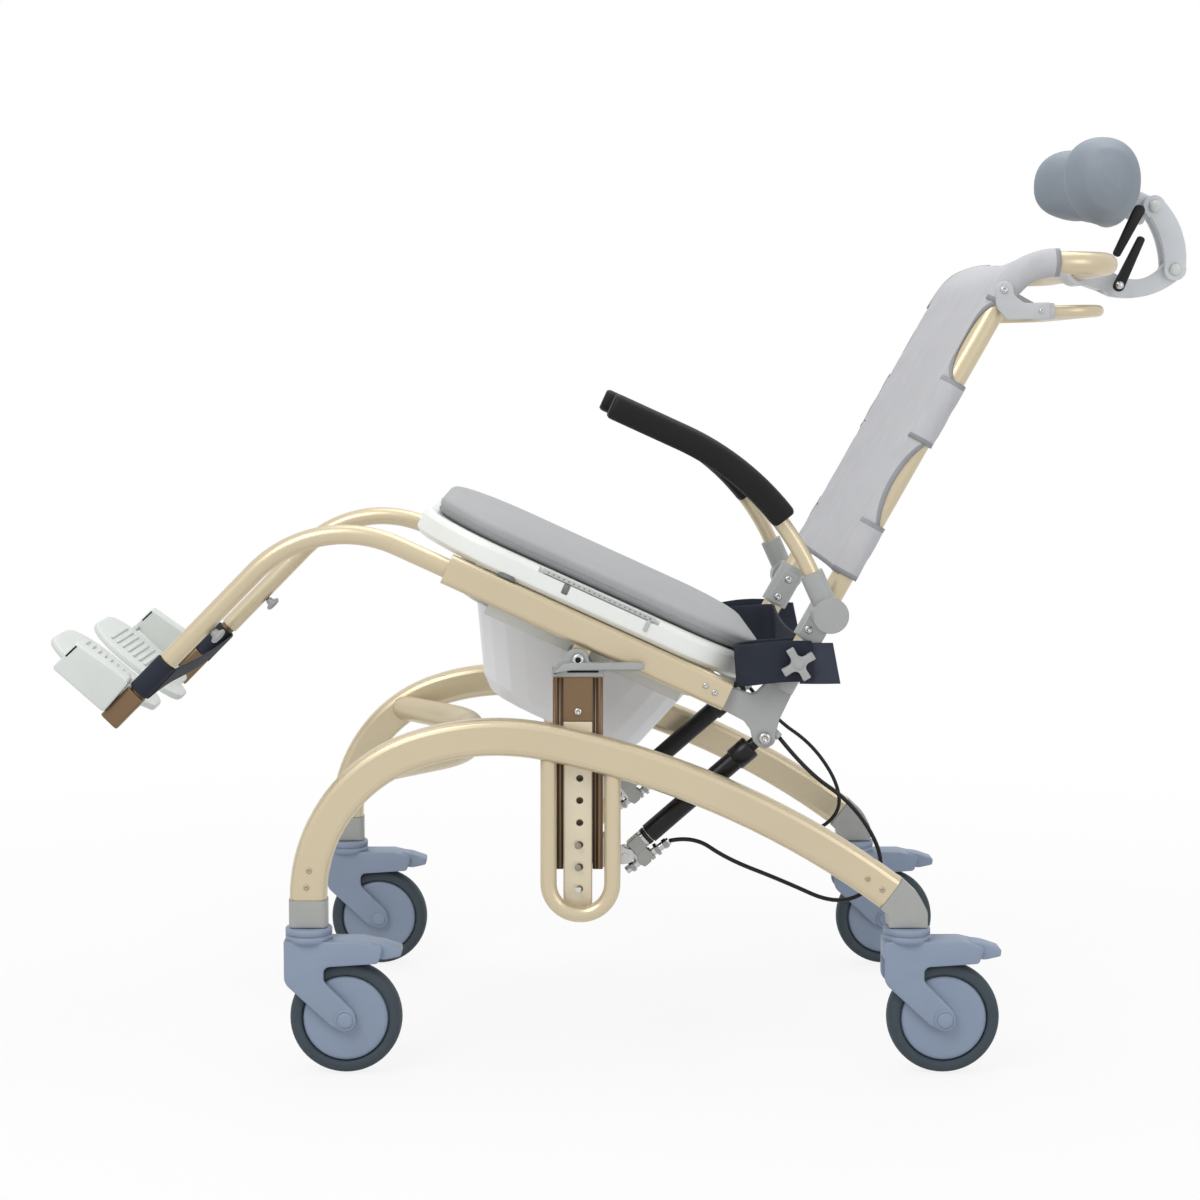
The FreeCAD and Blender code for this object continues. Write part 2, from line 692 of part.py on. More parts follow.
# Side plate: casting with a spigot in the seat rail, a socket for the back tube and an eye for the gas spring
plate_out = -seat_y - plate_thick / 2
plate_in = -seat_y + plate_thick / 2
plate_points = [(seat_rail_rear, rail_low + 1), (198, 12.4), (210, 5.4),
                (gas_upper_x - 10, gas_upper_z - 8.5), (gas_upper_x + 4, gas_upper_z - 13.5),
                (gas_upper_x + 14, gas_upper_z), (gas_upper_x + 10, 11.4), (233.3, 30.6),
                (234.0, socket_low + 8), (206, socket_low + 8),
                (196, rail_high - 4), (seat_rail_rear, rail_high - 6)]
plate = side_plate(plate_points, [0, 8.0, 5.0, 8.0, 9.0, 9.0, 5.0, 20.0, 0, 6.0, 10.0, 0], plate_out,
                   plate_in)
plate = plate.fuse(Part.makeCylinder(leg_tube_r - 0.3, 36.0,
                                     V(seat_rail_rear - 35, -seat_y, seat_rail_axis_z), V(1, 0, 0)))
foot = V(back_x(socket_low), -seat_y, socket_low)
head = V(back_x(socket_high), -seat_y, socket_high)
plate = plate.fuse(rod(foot, head, socket_r))
plate = plate.cut(rod(V(back_x(socket_low + 6), -seat_y, socket_low + 6),
                      V(back_x(socket_high + 9), -seat_y, socket_high + 9), back_tube_r))
plate = plate.fuse(cross_rod(gas_upper_x, gas_upper_z, plate_out - 3.0, -gas_y + gas_eye_width / 2 + 2.0,
                             gas_pin_r))
knob_x, knob_z = back_x(98.0), 98.0
plate = plate.cut(cross_rod(knob_x, knob_z, -seat_y - socket_r - 3, -seat_y - back_tube_r - 0.3,
                            4.0 + run_gap))
cable_way = V(0.92, 0, -0.40)
gland_root = V(gas_upper_x + 6.0, -seat_y, 15.5)
gland_face = gland_root + unit(cable_way) * 10.0
plate = plate.fuse(rod(gland_root, gland_face, 4.5))
export("side_plates", seated(plate), mirrored(seated(plate)))

# Seat ring: moulded ring with the commode aperture, side channels and the two hangers for the pan
ring_wires = []
for z, inset in ((ring_low, 6.0), (ring_low + 5, 0.0), (ring_high - 7, 0.0), (ring_high - 2, 2.5),
                 (ring_high, 7.0)):
    ring_wires.append(seat_outline(ring_front + inset, ring_rear - inset, ring_half - inset,
                                   ring_corner_front - inset,
                                   ring_corner_rear - inset, z))
ring = stack(ring_wires)
ring = ring.cut(round_box(aperture_x - aperture_length / 2, aperture_x + aperture_length / 2,
                          -aperture_width / 2, aperture_width / 2,
                          ring_low - 1, ring_high + 1, aperture_width / 2 - 1))
hanger_y = pan_half + pan_rim + 4.0
hanger_low = pan_rim_z - 3.3
for sign in (-1, 1):
    channel_low = ring_half - 5.0
    ring = ring.cut(box(-80, 66, min(sign * channel_low, sign * 300), max(sign * channel_low, sign * 300),
                        ring_high - 7, ring_high + 1))
    wall = box(-115, 125, min(sign * hanger_y, sign * (hanger_y + 5)),
               max(sign * hanger_y, sign * (hanger_y + 5)), hanger_low - 3, ring_low + 1)
    lip = box(-115, 125, min(sign * (hanger_y + 1), sign * (pan_half + 9)),
              max(sign * (hanger_y + 1), sign * (pan_half + 9)),
              hanger_low - 3, hanger_low)
    ring = ring.fuse(wall).fuse(lip)
export("seat_ring", seated(ring.removeSplitter()))

# Lid: padded cover that lies on the ring, with drawn-in sides and a crowned top
lid_low = ring_high + lid_gap
lid_wires = []
for z, inset in ((0, 4.0), (5, 0.8), (10, 0.0), (lid_band - 5, 1.0), (lid_band, 5.0), (lid_band + 3, 14.0),
                 (lid_band + 6, 40.0),
                 (lid_band + lid_crown, 95.0)):
    part = inset + lid_inset
    lid_wires.append(seat_outline(ring_front + 5 + part, ring_rear + 3 - part, ring_half - part + 1,
                                  max(ring_corner_front - part, 8.0),
                                  max(ring_corner_rear - part, 8.0), lid_low + z, 3))
lid = stack(lid_wires)
export("seat_lid", seated(lid))

# Commode pan: thin bowl that narrows to its floor, with a flat rim that slides on the hangers
pan_front = pan_top_x - pan_top_length / 2
pan_rear = pan_top_x + pan_top_length / 2


def pan_wires(wall, lift):
    rows = ((pan_rim_z, 0.0, 0.0, 0.0), (pan_floor_z + 14, 46.0, 22.0, 36.0),
            (pan_floor_z + lift, 60.0, 32.0, 48.0))
    wires = []
    for z, front, rear, side in rows:
        wires.append(seat_outline(pan_front + front + wall, pan_rear - rear - wall, pan_half - side - wall,
                                  60.0, 60.0, z, 4))
    return wires


pan = stack(pan_wires(0.0, 0.0))
rim = Part.Face(seat_outline(pan_front - pan_rim, pan_rear + 4, pan_half + pan_rim, 60.0, 60.0, pan_rim_z,
                             4)).extrude(V(0, 0, 3))
pan = pan.fuse(rim)
hollow = stack(pan_wires(pan_wall, pan_wall))
mouth = Part.Face(seat_outline(pan_front + pan_wall, pan_rear - pan_wall, pan_half - pan_wall, 60.0, 60.0,
                               pan_rim_z - 0.01, 4))
pan = pan.cut(hollow).cut(mouth.extrude(V(0, 0, 5)))
export("commode_pan", seated(pan.removeSplitter()))

# Back sling: cloth stretched in front of the back tubes, with sleeves round them and over the shoulders
up = V(math.sin(lean), 0, math.cos(lean))
front_way = V(-math.cos(lean), 0, math.sin(lean))
sling_low, sling_high = 205.0, 566.0
cloth = 2.4
flat_sides = 12
to_corner = 1 / math.cos(math.pi / flat_sides)
sleeve_r = (back_tube_r + 2.2) * to_corner
sag = 10.0
base = V(back_x(sling_low), 0, sling_low)
near = base + front_way * (back_tube_r + 0.5)
sheet_edges = []
for lift in (0.0, cloth):
    a = near + front_way * lift + V(0, -seat_y, 0)
    b = near + front_way * (lift - sag)
    c = near + front_way * lift + V(0, seat_y, 0)
    sheet_edges.append((a, b, c))
first, second = sheet_edges
sheet_wire = Part.Wire([Part.Arc(first[0], first[1], first[2]).toShape(),
                        Part.LineSegment(first[2], second[2]).toShape(),
                        Part.Arc(second[2], second[1], second[0]).toShape(),
                        Part.LineSegment(second[0], first[0]).toShape()])
sling = Part.Face(sheet_wire).extrude(up * ((sling_high - sling_low) / math.cos(lean)))
shoulder = [V(back_x(546.0), -seat_y, 546.0), V(corner_x, -seat_y, back_corner_z),
            V(corner_x, -seat_y, back_corner_z) + V(math.cos(rise), 0, math.sin(rise)) * 42.0]
for flip in (False, True):
    for low, high in ((207.0, 273.0), (374.0, 447.0)):
        sleeve = bent_bar([V(back_x(low), -seat_y, low), V(back_x(high), -seat_y, high)], [], sleeve_r,
                          flat_sides)
        sling = sling.fuse(mirrored(sleeve) if flip else sleeve)
    sleeve = bent_bar(shoulder, [back_bend_r], sleeve_r, flat_sides)
    sling = sling.fuse(mirrored(sleeve) if flip else sleeve)
sling = sling.cut(bent_bar(back_points, back_radii, (back_tube_r + 0.1) * to_corner, flat_sides))
for sign in (-1, 1):
    sling = sling.cut(cross_rod(release_x, release_z, sign * (seat_y - 6), sign * (pin_in - 30), 4.6))
    arm_room = sorted([sign * (pin_in + 1.5), sign * (pin_in - release_arm_width - 4.0)])
    sling = sling.cut(box(release_x - 40, release_x + 6, arm_room[0], arm_room[1], release_z - 18,
                          release_z + 40))
sling = max(sling.Solids, key=lambda s: s.Volume)
export("back_sling", seated(sling))

# Armrest clamps on the back tube, each with the pin on which the armrest swings
boss_in = seat_y + socket_r + 14.0
clamp_low, clamp_high = arm_boss_z - 38.0, arm_boss_z + 16.0
clamp = rod(V(back_x(clamp_low), -seat_y, clamp_low), V(back_x(clamp_high), -seat_y, clamp_high), socket_r)
clamp = clamp.fuse(side_plate([(back_x(clamp_low) - 13, clamp_low), (back_x(clamp_low) + 13, clamp_low),
                               (arm_boss_x + 14, clamp_high), (arm_boss_x - 14, clamp_high)], [4.0] * 4,
                               -seat_y - socket_r - 5, -seat_y - 10))
clamp = clamp.fuse(cross_rod(arm_boss_x, arm_boss_z, -seat_y - 14, -boss_in + 0.6, 11.0))
clamp = clamp.cut(rod(V(back_x(clamp_low - 20), -seat_y, clamp_low - 20),
                      V(back_x(clamp_high + 20), -seat_y, clamp_high + 20), back_tube_r))
clamp = clamp.fuse(cross_rod(arm_boss_x, arm_boss_z, -boss_in + 0.6, -boss_in - arm_boss_width + 5,
                             arm_pin_r))
export("arm_clamps", seated(clamp), mirrored(seated(clamp)))

# Armrest: elbow casting, bent tube, foam pad round the tube
arm_y = -boss_in - arm_boss_width / 2
climb = math.radians(arm_rise)
bend_x = arm_boss_x - arm_neck * math.cos(climb)
bend_z = arm_boss_z + arm_neck * math.sin(climb)
level_x = bend_x - arm_bend_r * math.sin(climb)
level_z = bend_z + arm_bend_r * (1 - math.cos(climb))
arm_in = 22.0


def arm_line(offset, front, rear_turn, tail):
    """Armrest line, moved out by offset: straight, arc down to the rear, then a straight tail."""
    radius = arm_bend_r + offset
    centre = V(level_x, arm_y, level_z - arm_bend_r)
    turn = math.radians(rear_turn)
    places = []
    for part in (0, 0.5, 1):
        places.append(centre + V(radius * math.sin(turn * part), 0, radius * math.cos(turn * part)))
    edges = [Part.LineSegment(V(front, arm_y, level_z + offset), places[0]).toShape(),
             Part.Arc(places[0], places[1], places[2]).toShape()]
    if tail > 0:
        edges.append(Part.LineSegment(places[2],
                                      places[2] + V(math.cos(turn), 0, -math.sin(turn)) * tail).toShape())
    return Part.Wire(edges)


arm_tube = pipe(arm_line(0, arm_tip_x + 3.0, arm_rise, arm_in), arm_tube_r)
half_pad = pad_height / 2
pad_corners = [V(arm_tip_x, arm_y - pad_width / 2, level_z + pad_lift - half_pad),
               V(arm_tip_x, arm_y + pad_width / 2, level_z + pad_lift - half_pad),
               V(arm_tip_x, arm_y + pad_width / 2, level_z + pad_lift + half_pad),
               V(arm_tip_x, arm_y - pad_width / 2, level_z + pad_lift + half_pad)]
pad = swept(arm_line(pad_lift, arm_tip_x, pad_rear_turn, 0),
            outline(pad_corners, [7.0, 7.0, 12.0, 12.0], 2))
pad = pad.cut(arm_tube)
elbow_end = V(bend_x, arm_y, bend_z)
elbow_way = V(math.cos(climb), 0, -math.sin(climb))
arm_elbow = cross_rod(arm_boss_x, arm_boss_z, -boss_in, -boss_in - arm_boss_width, arm_boss_r)
arm_elbow = arm_elbow.fuse(rod(elbow_end, elbow_end + elbow_way * (arm_neck - 8.0), 13.0))
arm_elbow = arm_elbow.cut(rod(elbow_end - elbow_way, elbow_end + elbow_way * arm_in, arm_tube_r))
arm_elbow = arm_elbow.cut(cross_rod(arm_boss_x, arm_boss_z, -boss_in + 1, -boss_in - arm_boss_width + 4.5,
                                    arm_pin_r + run_gap))
for side in ("left", "right"):
    for name, shape in (("armrest_elbow_", arm_elbow), ("armrest_tube_", arm_tube), ("armrest_pad_", pad)):
        placed = seated(shape)
        export(name + side, placed if side == "left" else mirrored(placed))

# Hip strap: band from a flap behind the back tube, outside it, round its front and across behind the seat
slope = math.radians(29.0)
strap_out = seat_y + socket_r + 11.5
strap_in = seat_y - socket_r - 3.0
front_s, cross_s, flap_s = -66.0, 12.0, 48.0


def strap_point(s, y):
    return V(knob_x + s * math.cos(slope), y, knob_z + s * math.sin(slope))


fold_r = (strap_out - strap_in) / 2 - 0.2
strap_points = [strap_point(flap_s, -strap_out), strap_point(front_s, -strap_out),
                strap_point(front_s, -strap_in), strap_point(cross_s, -strap_in),
                strap_point(cross_s, strap_in), strap_point(front_s, strap_in),
                strap_point(front_s, strap_out), strap_point(flap_s, strap_out)]
strap_line = route(strap_points, [fold_r, fold_r, 16.0, 16.0, fold_r, fold_r])
width_way = V(-math.sin(slope), 0, math.cos(slope))
thick_way = V(0, 1, 0)
start = strap_points[0]
strap_wire = outline([start + width_way * (a * strap_width / 2) + thick_way * (b * strap_thick / 2)
                      for a, b in ((-1, -1), (1, -1), (1, 1), (-1, 1))], [0] * 4)
hip_strap = swept(strap_line, strap_wire)
for sign in (-1, 1):
    hip_strap = hip_strap.cut(cross_rod(knob_x, knob_z, sign * (strap_out - 8), sign * (strap_out + 8),
                                        5.0))
export("hip_strap", seated(hip_strap))

# Cross knob: four arms on a hub, with the stud that clamps the strap to the socket
knob_out = strap_out + strap_thick / 2 + 4.0
knob = cross_rod(knob_x, knob_z, -knob_out, -knob_out - 13.0, 11.0)
knob = knob.fuse(cross_rod(knob_x, knob_z, -knob_out, -strap_out - strap_thick / 2 - 1.0, 8.0))
for turn in (20.0, 110.0):
    arm = side_plate([(knob_x - 21, knob_z - 6.5), (knob_x + 21, knob_z - 6.5), (knob_x + 21, knob_z + 6.5),
                      (knob_x - 21, knob_z + 6.5)],
                     [6.4] * 4, -knob_out - 12.0, -knob_out - 1.0)
    arm.rotate(V(knob_x, 0, knob_z), V(0, 1, 0), turn)
    knob = knob.fuse(arm)
knob = knob.fuse(cross_rod(knob_x, knob_z, -knob_out, -seat_y - back_tube_r - 1.0, 4.0))
export("cross_knob_left", seated(knob))
export("cross_knob_right", mirrored(seated(knob)))

# Release bar: U bar under the push bow, held by two cast arms that swing on pins in the back tubes
arm_y0 = -pin_in
arm_y1 = -pin_in + release_arm_width
bar_y = (pin_in - release_arm_width / 2)
bar_way = unit(V(release_end_x - release_start_x, 0, release_end_z - release_start_z))
bar_points = [V(release_start_x, -bar_y, release_start_z), V(release_end_x, -bar_y, release_end_z),
              V(release_end_x, bar_y, release_end_z), V(release_start_x, bar_y, release_start_z)]
release_bar = bent_bar(bar_points, [45.0, 45.0], release_bar_r, 16)
release_arm = side_plate([(release_x - 9, release_z + 9), (release_x - 9, release_z - 10),
                          (release_start_x - 3, release_start_z - 9),
                          (release_start_x + 5, release_start_z + 7)], [8.0, 8.0, 5.0, 5.0], arm_y0 + 0.5,
                          arm_y1)
release_socket = rod(bar_points[0] - bar_way * 4.0, bar_points[0] + bar_way * 20.0, release_bar_r + 2.5)
release_arm = release_arm.fuse(release_socket).cut(rod(bar_points[0], bar_points[0] + bar_way * 30.0,
                                                       release_bar_r))
release_arm = release_arm.cut(cross_rod(release_x, release_z, arm_y0 - 2, arm_y1 + 2, 4.0 + run_gap))
export("release_bar", seated(release_bar))
export("release_arms", seated(release_arm), mirrored(seated(release_arm)))

# Gas springs: cylinder under the side plate, rod with its release head at the column
gas_top = seat_point(gas_upper_x, -gas_y, gas_upper_z)
gas_foot = V(gas_lower_x, -gas_y, gas_lower_z)
gas_way = unit(gas_foot - gas_top)
gas_length = (gas_foot - gas_top).Length
half_eye = gas_eye_width / 2
tube_end = gas_top + gas_way * (gas_length - gas_tail)
cylinder = rod(gas_top + gas_way * gas_neck, tube_end, gas_tube_r)
cylinder = cylinder.fuse(rod(gas_top, gas_top + gas_way * (gas_neck + 2), 7.0))
cylinder = cylinder.fuse(cross_rod(gas_top.x, gas_top.z, -gas_y - half_eye, -gas_y + half_eye, gas_eye_r))
cylinder = cylinder.cut(cross_rod(gas_top.x, gas_top.z, -gas_y - 30, -gas_y + 30, gas_pin_r + run_gap))
cylinder = cylinder.cut(rod(gas_top + gas_way * (gas_neck + 12), tube_end + gas_way, gas_rod_r + run_gap))
export("gas_cylinders", cylinder, mirrored(cylinder))
below = V(gas_way.z, 0, -gas_way.x)
below = below if below.z < 0 else below * -1
gas_rod = rod(gas_top + gas_way * (gas_neck + 16), gas_foot, gas_rod_r)
gas_rod = gas_rod.fuse(rod(tube_end + gas_way * 1.0, tube_end + gas_way * 10.0, 10.0))
gas_rod = gas_rod.fuse(rod(tube_end + gas_way * 9.0, gas_foot, 7.0))
gas_rod = gas_rod.fuse(cross_rod(gas_foot.x, gas_foot.z, -gas_y - half_eye, -gas_y + half_eye, gas_eye_r))
adjuster_tip = V(gas_foot.x + 49.7, -gas_y, gas_foot.z + 15.1)
adjuster_low = V(gas_foot.x + 1.7, -gas_y, gas_foot.z - 18.9)
gas_rod = gas_rod.fuse(rod(adjuster_low, adjuster_tip, 4.5))
arm_root = gas_foot - gas_way * 8.0
gas_rod = gas_rod.fuse(rod(arm_root, arm_root + below * 17.0, 5.0))
gas_rod = gas_rod.cut(cross_rod(gas_foot.x, gas_foot.z, -gas_y - 30, -gas_y + 30,
                                gas_pin_r + open_pivot_gap))
export("gas_rods", gas_rod.removeSplitter(), mirrored(gas_rod.removeSplitter()))

# Release cable: from the gland on the side plate, round in a hanging loop, to the adjuster of the
# release head
cable_start = seat_point(gland_face.x, gland_face.y, gland_face.z)
cable_hang = [(203, 14, 96), (253, 12, 62), (288, 9, 9), (288, 7, -32), (242, 5, -59), (177, -6, -31),
              (115, 4, -5)]
cable_points = [cable_start]
cable_points += [gas_foot + V(x, -y, z) for x, y, z in cable_hang]
cable_mouth = V(27, 0, 6)
cable_points += [adjuster_tip + cable_mouth, adjuster_tip + unit(cable_mouth) * 1.8]
cable_radii = []
for i in range(1, len(cable_points) - 1):
    back_run = cable_points[i] - cable_points[i - 1]
    next_run = cable_points[i + 1] - cable_points[i]
    turn = back_run.getAngle(next_run)
    cable_radii.append(0.45 * min(back_run.Length, next_run.Length) / math.tan(turn / 2))
cable_line = route(cable_points, cable_radii)
cable_sides = 6
cable_area = math.pi * cable_r ** 2
cable_corner = math.sqrt(cable_area / (0.5 * cable_sides * math.sin(2 * math.pi / cable_sides)))
cable = pipe(cable_line, cable_corner, cable_sides)
print("cable radii", [round(r, 1) for r in cable_radii], "volume ratio",
      round(cable.Volume / (cable_area * cable_line.Length), 4), "length", round(cable_line.Length, 1))
export("release_cables", cable, mirrored(cable))

# Leg: tube that slides in the seat rail, bar that slides in the tube, foot bracket and flip-up foot plate
down = V(-math.cos(drop), 0, -math.sin(drop))
ahead = V(-math.sin(drop), 0, math.cos(drop))
leg_corner = V(leg_corner_x, -seat_y, seat_rail_axis_z)
leg_rear = V(seat_rail_front + leg_insert, -seat_y, seat_rail_axis_z)
leg_end = leg_corner + down * leg_lower_length
bar_end = leg_end + down * bar_out
leg_points = [leg_rear, leg_corner, leg_end]
leg_tube = bent_bar(leg_points, [leg_bend_r], leg_tube_r)
leg_tube = leg_tube.cut(bent_bar([leg_rear + V(1, 0, 0), leg_corner, leg_end + down], [leg_bend_r],
                                 leg_bore_r, 8))
leg_tube = leg_tube.cut(rod(leg_end - down * (bar_in + 8.0), leg_end + down, leg_bore_r))
leg_bar = rod(leg_end - down * bar_in, bar_end, leg_bore_r - run_gap)
knob_root = leg_end - down * knob_back
knob_way = ahead * -1
leg_tube = leg_tube.cut(rod(knob_root, knob_root + knob_way * 30, 3.0 + run_gap))


def foot_point(p, y, d):
    """Point by the foot: p ahead of the bar, d below the end of the bar."""
    return bar_end + ahead * p + down * d + V(0, y + seat_y, 0)


def foot_block(p0, p1, y0, y1, d0, d1, r):
    """Block square to the leg bar, with rounded corners seen from the side."""
    wire = outline([foot_point(p0, y0, d0), foot_point(p1, y0, d0), foot_point(p1, y0, d1),
                    foot_point(p0, y0, d1)], [r] * 4)
    return Part.Face(wire).extrude(V(0, y1 - y0, 0))


disc_low = knob_reach - 6.0
leg_knob = rod(knob_root + knob_way * (leg_bore_r + 0.6), knob_root + knob_way * (disc_low + 1), 3.0)
leg_knob = leg_knob.fuse(rod(knob_root + knob_way * (leg_tube_r + 1.5), knob_root + knob_way * (disc_low + 1),
                             4.4))
leg_knob = leg_knob.fuse(rod(knob_root + knob_way * disc_low, knob_root + knob_way * (knob_reach - 1.5),
                             knob_disc_r))
leg_knob = leg_knob.fuse(rod(knob_root + knob_way * (knob_reach - 3), knob_root + knob_way * knob_reach,
                             knob_disc_r - 2.0))

# Foot bracket: box clamped to the end of the bar, with two ears and the hinge pin of the foot plate
box_out = -seat_y - 19.0
box_in = box_out + foot_box_depth
hinge_y = box_in + foot_hinge_r + 1.0
hinge_d = -7.0
bracket_points = [foot_point(14, box_out, -51), foot_point(86, box_out, -40), foot_point(86, box_out, -1.5),
                  foot_point(11, box_out, -5)]
foot_bracket = Part.Face(outline(bracket_points, [6.0, 6.0, 5.0, 5.0])).extrude(V(0, foot_box_depth, 0))
hollow_points = [foot_point(18, box_out, -47), foot_point(82, box_out, -37), foot_point(82, box_out, -5),
                 foot_point(15, box_out, -9)]
foot_hollow = Part.Face(outline(hollow_points, [3.0] * 4)).extrude(V(0, foot_box_depth - 8, 0))
foot_hollow.translate(V(0, 3.0, 0))
foot_bracket = foot_bracket.cut(foot_hollow)
collar = rod(foot_point(0, -seat_y, -40), foot_point(0, -seat_y, -9), leg_bore_r + 4.5)
foot_bracket = foot_bracket.fuse(collar.cut(rod(foot_point(0, -seat_y, -60), foot_point(0, -seat_y, 20),
                                                leg_bore_r - run_gap)))
for p0 in (11.0, 80.0):
    ear = foot_block(p0, p0 + 6, box_in - 1, hinge_y, hinge_d - 6, hinge_d + 6, 0)
    ear = ear.fuse(rod(foot_point(p0, hinge_y, hinge_d), foot_point(p0 + 6, hinge_y, hinge_d),
                       foot_hinge_r))
    foot_bracket = foot_bracket.fuse(ear)
foot_bracket = foot_bracket.fuse(rod(foot_point(11, hinge_y, hinge_d), foot_point(86, hinge_y, hinge_d),
                                     foot_pin_r)).removeSplitter()

# Foot plate: ribbed sole with rounded toe and heel and a hinge barrel at its outer side
sole_out = hinge_y + foot_hinge_r + 1.5
sole_wire = outline([V(-foot_heel, sole_out, 0), V(foot_length - foot_heel, sole_out, 0),
                     V(foot_length - foot_heel, -foot_inner_y, 0),
                     V(-foot_heel, -foot_inner_y, 0)], [30.0, 46.0, 50.0, 44.0])
sole = Part.Face(sole_wire).extrude(V(0, 0, foot_thick))
rib_count = 8
for i in range(rib_count):
    x = 6.0 + i * 11.5
    sole = sole.fuse(box(x, x + 4.5, sole_out + 26, -foot_inner_y - 26, foot_thick - 0.5, foot_thick + 1.6))
sole.rotate(V(0, 0, 0), V(0, 1, 0), foot_tilt)
to_foot = FreeCAD.Matrix(ahead.x, 0, -down.x, bar_end.x, 0, 1, 0, 0, ahead.z, 0, -down.z, bar_end.z, 0, 0,
                         0, 1)
sole.translate(V(0, 0, 8.0))
sole = sole.transformed(to_foot, copy=True)
barrel = rod(foot_point(18, hinge_y, hinge_d), foot_point(79, hinge_y, hinge_d), foot_hinge_r)
tab = foot_block(18, 79, hinge_y, sole_out + 12, hinge_d - 3.0, hinge_d + 3.0, 0)
foot_plate = sole.fuse(barrel.fuse(tab))
foot_plate = foot_plate.cut(rod(foot_point(10, hinge_y, hinge_d), foot_point(90, hinge_y, hinge_d),
                                foot_pin_r + run_gap))
pieces = (("leg_tube_", leg_tube), ("leg_bar_", leg_bar), ("leg_knob_", leg_knob),
          ("foot_bracket_", foot_bracket),
          ("foot_plate_", foot_plate.removeSplitter()))
for name, shape in pieces:
    export(name + "left", seated(shape))
    export(name + "right", mirrored(seated(shape.translated(V(leg_pull_left, 0, 0)))))

# Heel strap: band stitched round both bars, hanging to the rear between them
loop_r = leg_bore_r + 0.3
shift_p = -leg_pull_left * math.sin(drop)
band_low, band_high = -46.0, -92.0


def band_point(p, y):
    return bar_end + ahead * p + down * band_low + V(0, y + seat_y, 0)


heel_way = down * (band_high - band_low)
left_c = band_point(0, -seat_y)
right_c = band_point(shift_p, seat_y)
rings = []
for centre in (left_c, right_c):
    ring_tube = Part.makeCylinder(loop_r + strap_thick, heel_way.Length, centre, heel_way)
    rings.append(ring_tube)
side_p = loop_r + strap_thick / 2
web_in = [band_point(-side_p + 1.4, -seat_y + 2), band_point(-side_p - 26, 0),
          band_point(shift_p - side_p + 1.4, seat_y - 2)]
web_out = [q - ahead * strap_thick for q in web_in]
web_wire = Part.Wire([Part.Arc(web_in[0], web_in[1], web_in[2]).toShape(),
                      Part.LineSegment(web_in[2], web_out[2]).toShape(),
                      Part.Arc(web_out[2], web_out[1], web_out[0]).toShape(),
                      Part.LineSegment(web_out[0], web_in[0]).toShape()])
heel_strap = Part.Face(web_wire).extrude(heel_way)
for ring_tube in rings:
    heel_strap = heel_strap.fuse(ring_tube)
for centre in (left_c, right_c):
    heel_strap = heel_strap.cut(Part.makeCylinder(loop_r, heel_way.Length + 4, centre - unit(heel_way) * 2,
                                                  heel_way))
heel_strap = max(heel_strap.Solids, key=lambda s: s.Volume)
export("heel_strap", seated(heel_strap))

# Headrest: bracket on the push bow, two arms, levers that lock the joints, winged foam pad
half_arm = head_arm_width / 2
cheek_y0 = half_arm + head_gap_side
cheek_y1 = cheek_y0 + head_cheek
fork_points = [(head_low_x - 20, head_low_z - 12), (head_low_x + 11, head_low_z - 12),
               (head_low_x + 11, head_low_z + 12), (head_low_x - 20, head_low_z + 12)]
head_base = cross_rod(bow_x_end, bow_z_end, -22, 22, back_tube_r + 6)
neck_points = [(bow_x_end, bow_z_end - 14), (head_low_x - 15, head_low_z - 12),
               (head_low_x - 15, head_low_z + 10), (bow_x_end, bow_z_end + 10)]
head_base = head_base.fuse(side_plate(neck_points, [0] * 4, -cheek_y1, cheek_y1))
for low in (-cheek_y1, cheek_y0):
    head_base = head_base.fuse(side_plate(fork_points, [0, 11.0, 11.0, 0], low, low + head_cheek))
head_base = head_base.cut(cross_rod(head_low_x, head_low_z, -cheek_y0, cheek_y0, head_boss_r + 1.0))
head_base = head_base.cut(cross_rod(bow_x_end, bow_z_end, -40, 40, back_tube_r))
head_base = head_base.fuse(cross_rod(head_low_x, head_low_z, -cheek_y1 - 12.0, cheek_y1,
                                     head_pin_r)).removeSplitter()
export("headrest_base", seated(head_base))


def arc_band(outer, inner, y0, y1):
    """Curved flat link between two arcs, each given by three points."""
    o = [V(x, y0, z) for x, z in outer]
    n = [V(x, y0, z) for x, z in inner]
    wire = Part.Wire([Part.Arc(o[0], o[1], o[2]).toShape(), Part.LineSegment(o[2], n[2]).toShape(),
                      Part.Arc(n[2], n[1], n[0]).toShape(), Part.LineSegment(n[0], o[0]).toShape()])
    return Part.Face(wire).extrude(V(0, y1 - y0, 0))


low_outer = [(head_low_x, head_low_z - 13), (head_low_x + 32, head_low_z),
             (head_mid_x + 10, head_mid_z - 8)]
low_inner = [(head_low_x, head_low_z + 13), (head_low_x + 21, head_low_z + 18),
             (head_mid_x - 12, head_mid_z + 5)]
lower_arm = arc_band(low_outer, low_inner, -half_arm, half_arm)
for x, z in ((head_low_x, head_low_z), (head_mid_x, head_mid_z)):
    lower_arm = lower_arm.fuse(cross_rod(x, z, -half_arm, half_arm, head_boss_r))
lower_arm = lower_arm.cut(cross_rod(head_low_x, head_low_z, -40, 40, head_pin_r + run_gap))
lower_arm = lower_arm.fuse(cross_rod(head_mid_x, head_mid_z, -cheek_y1 - 2, cheek_y1 + 2, head_pin_r))
export("headrest_lower_arm", seated(lower_arm.removeSplitter()))

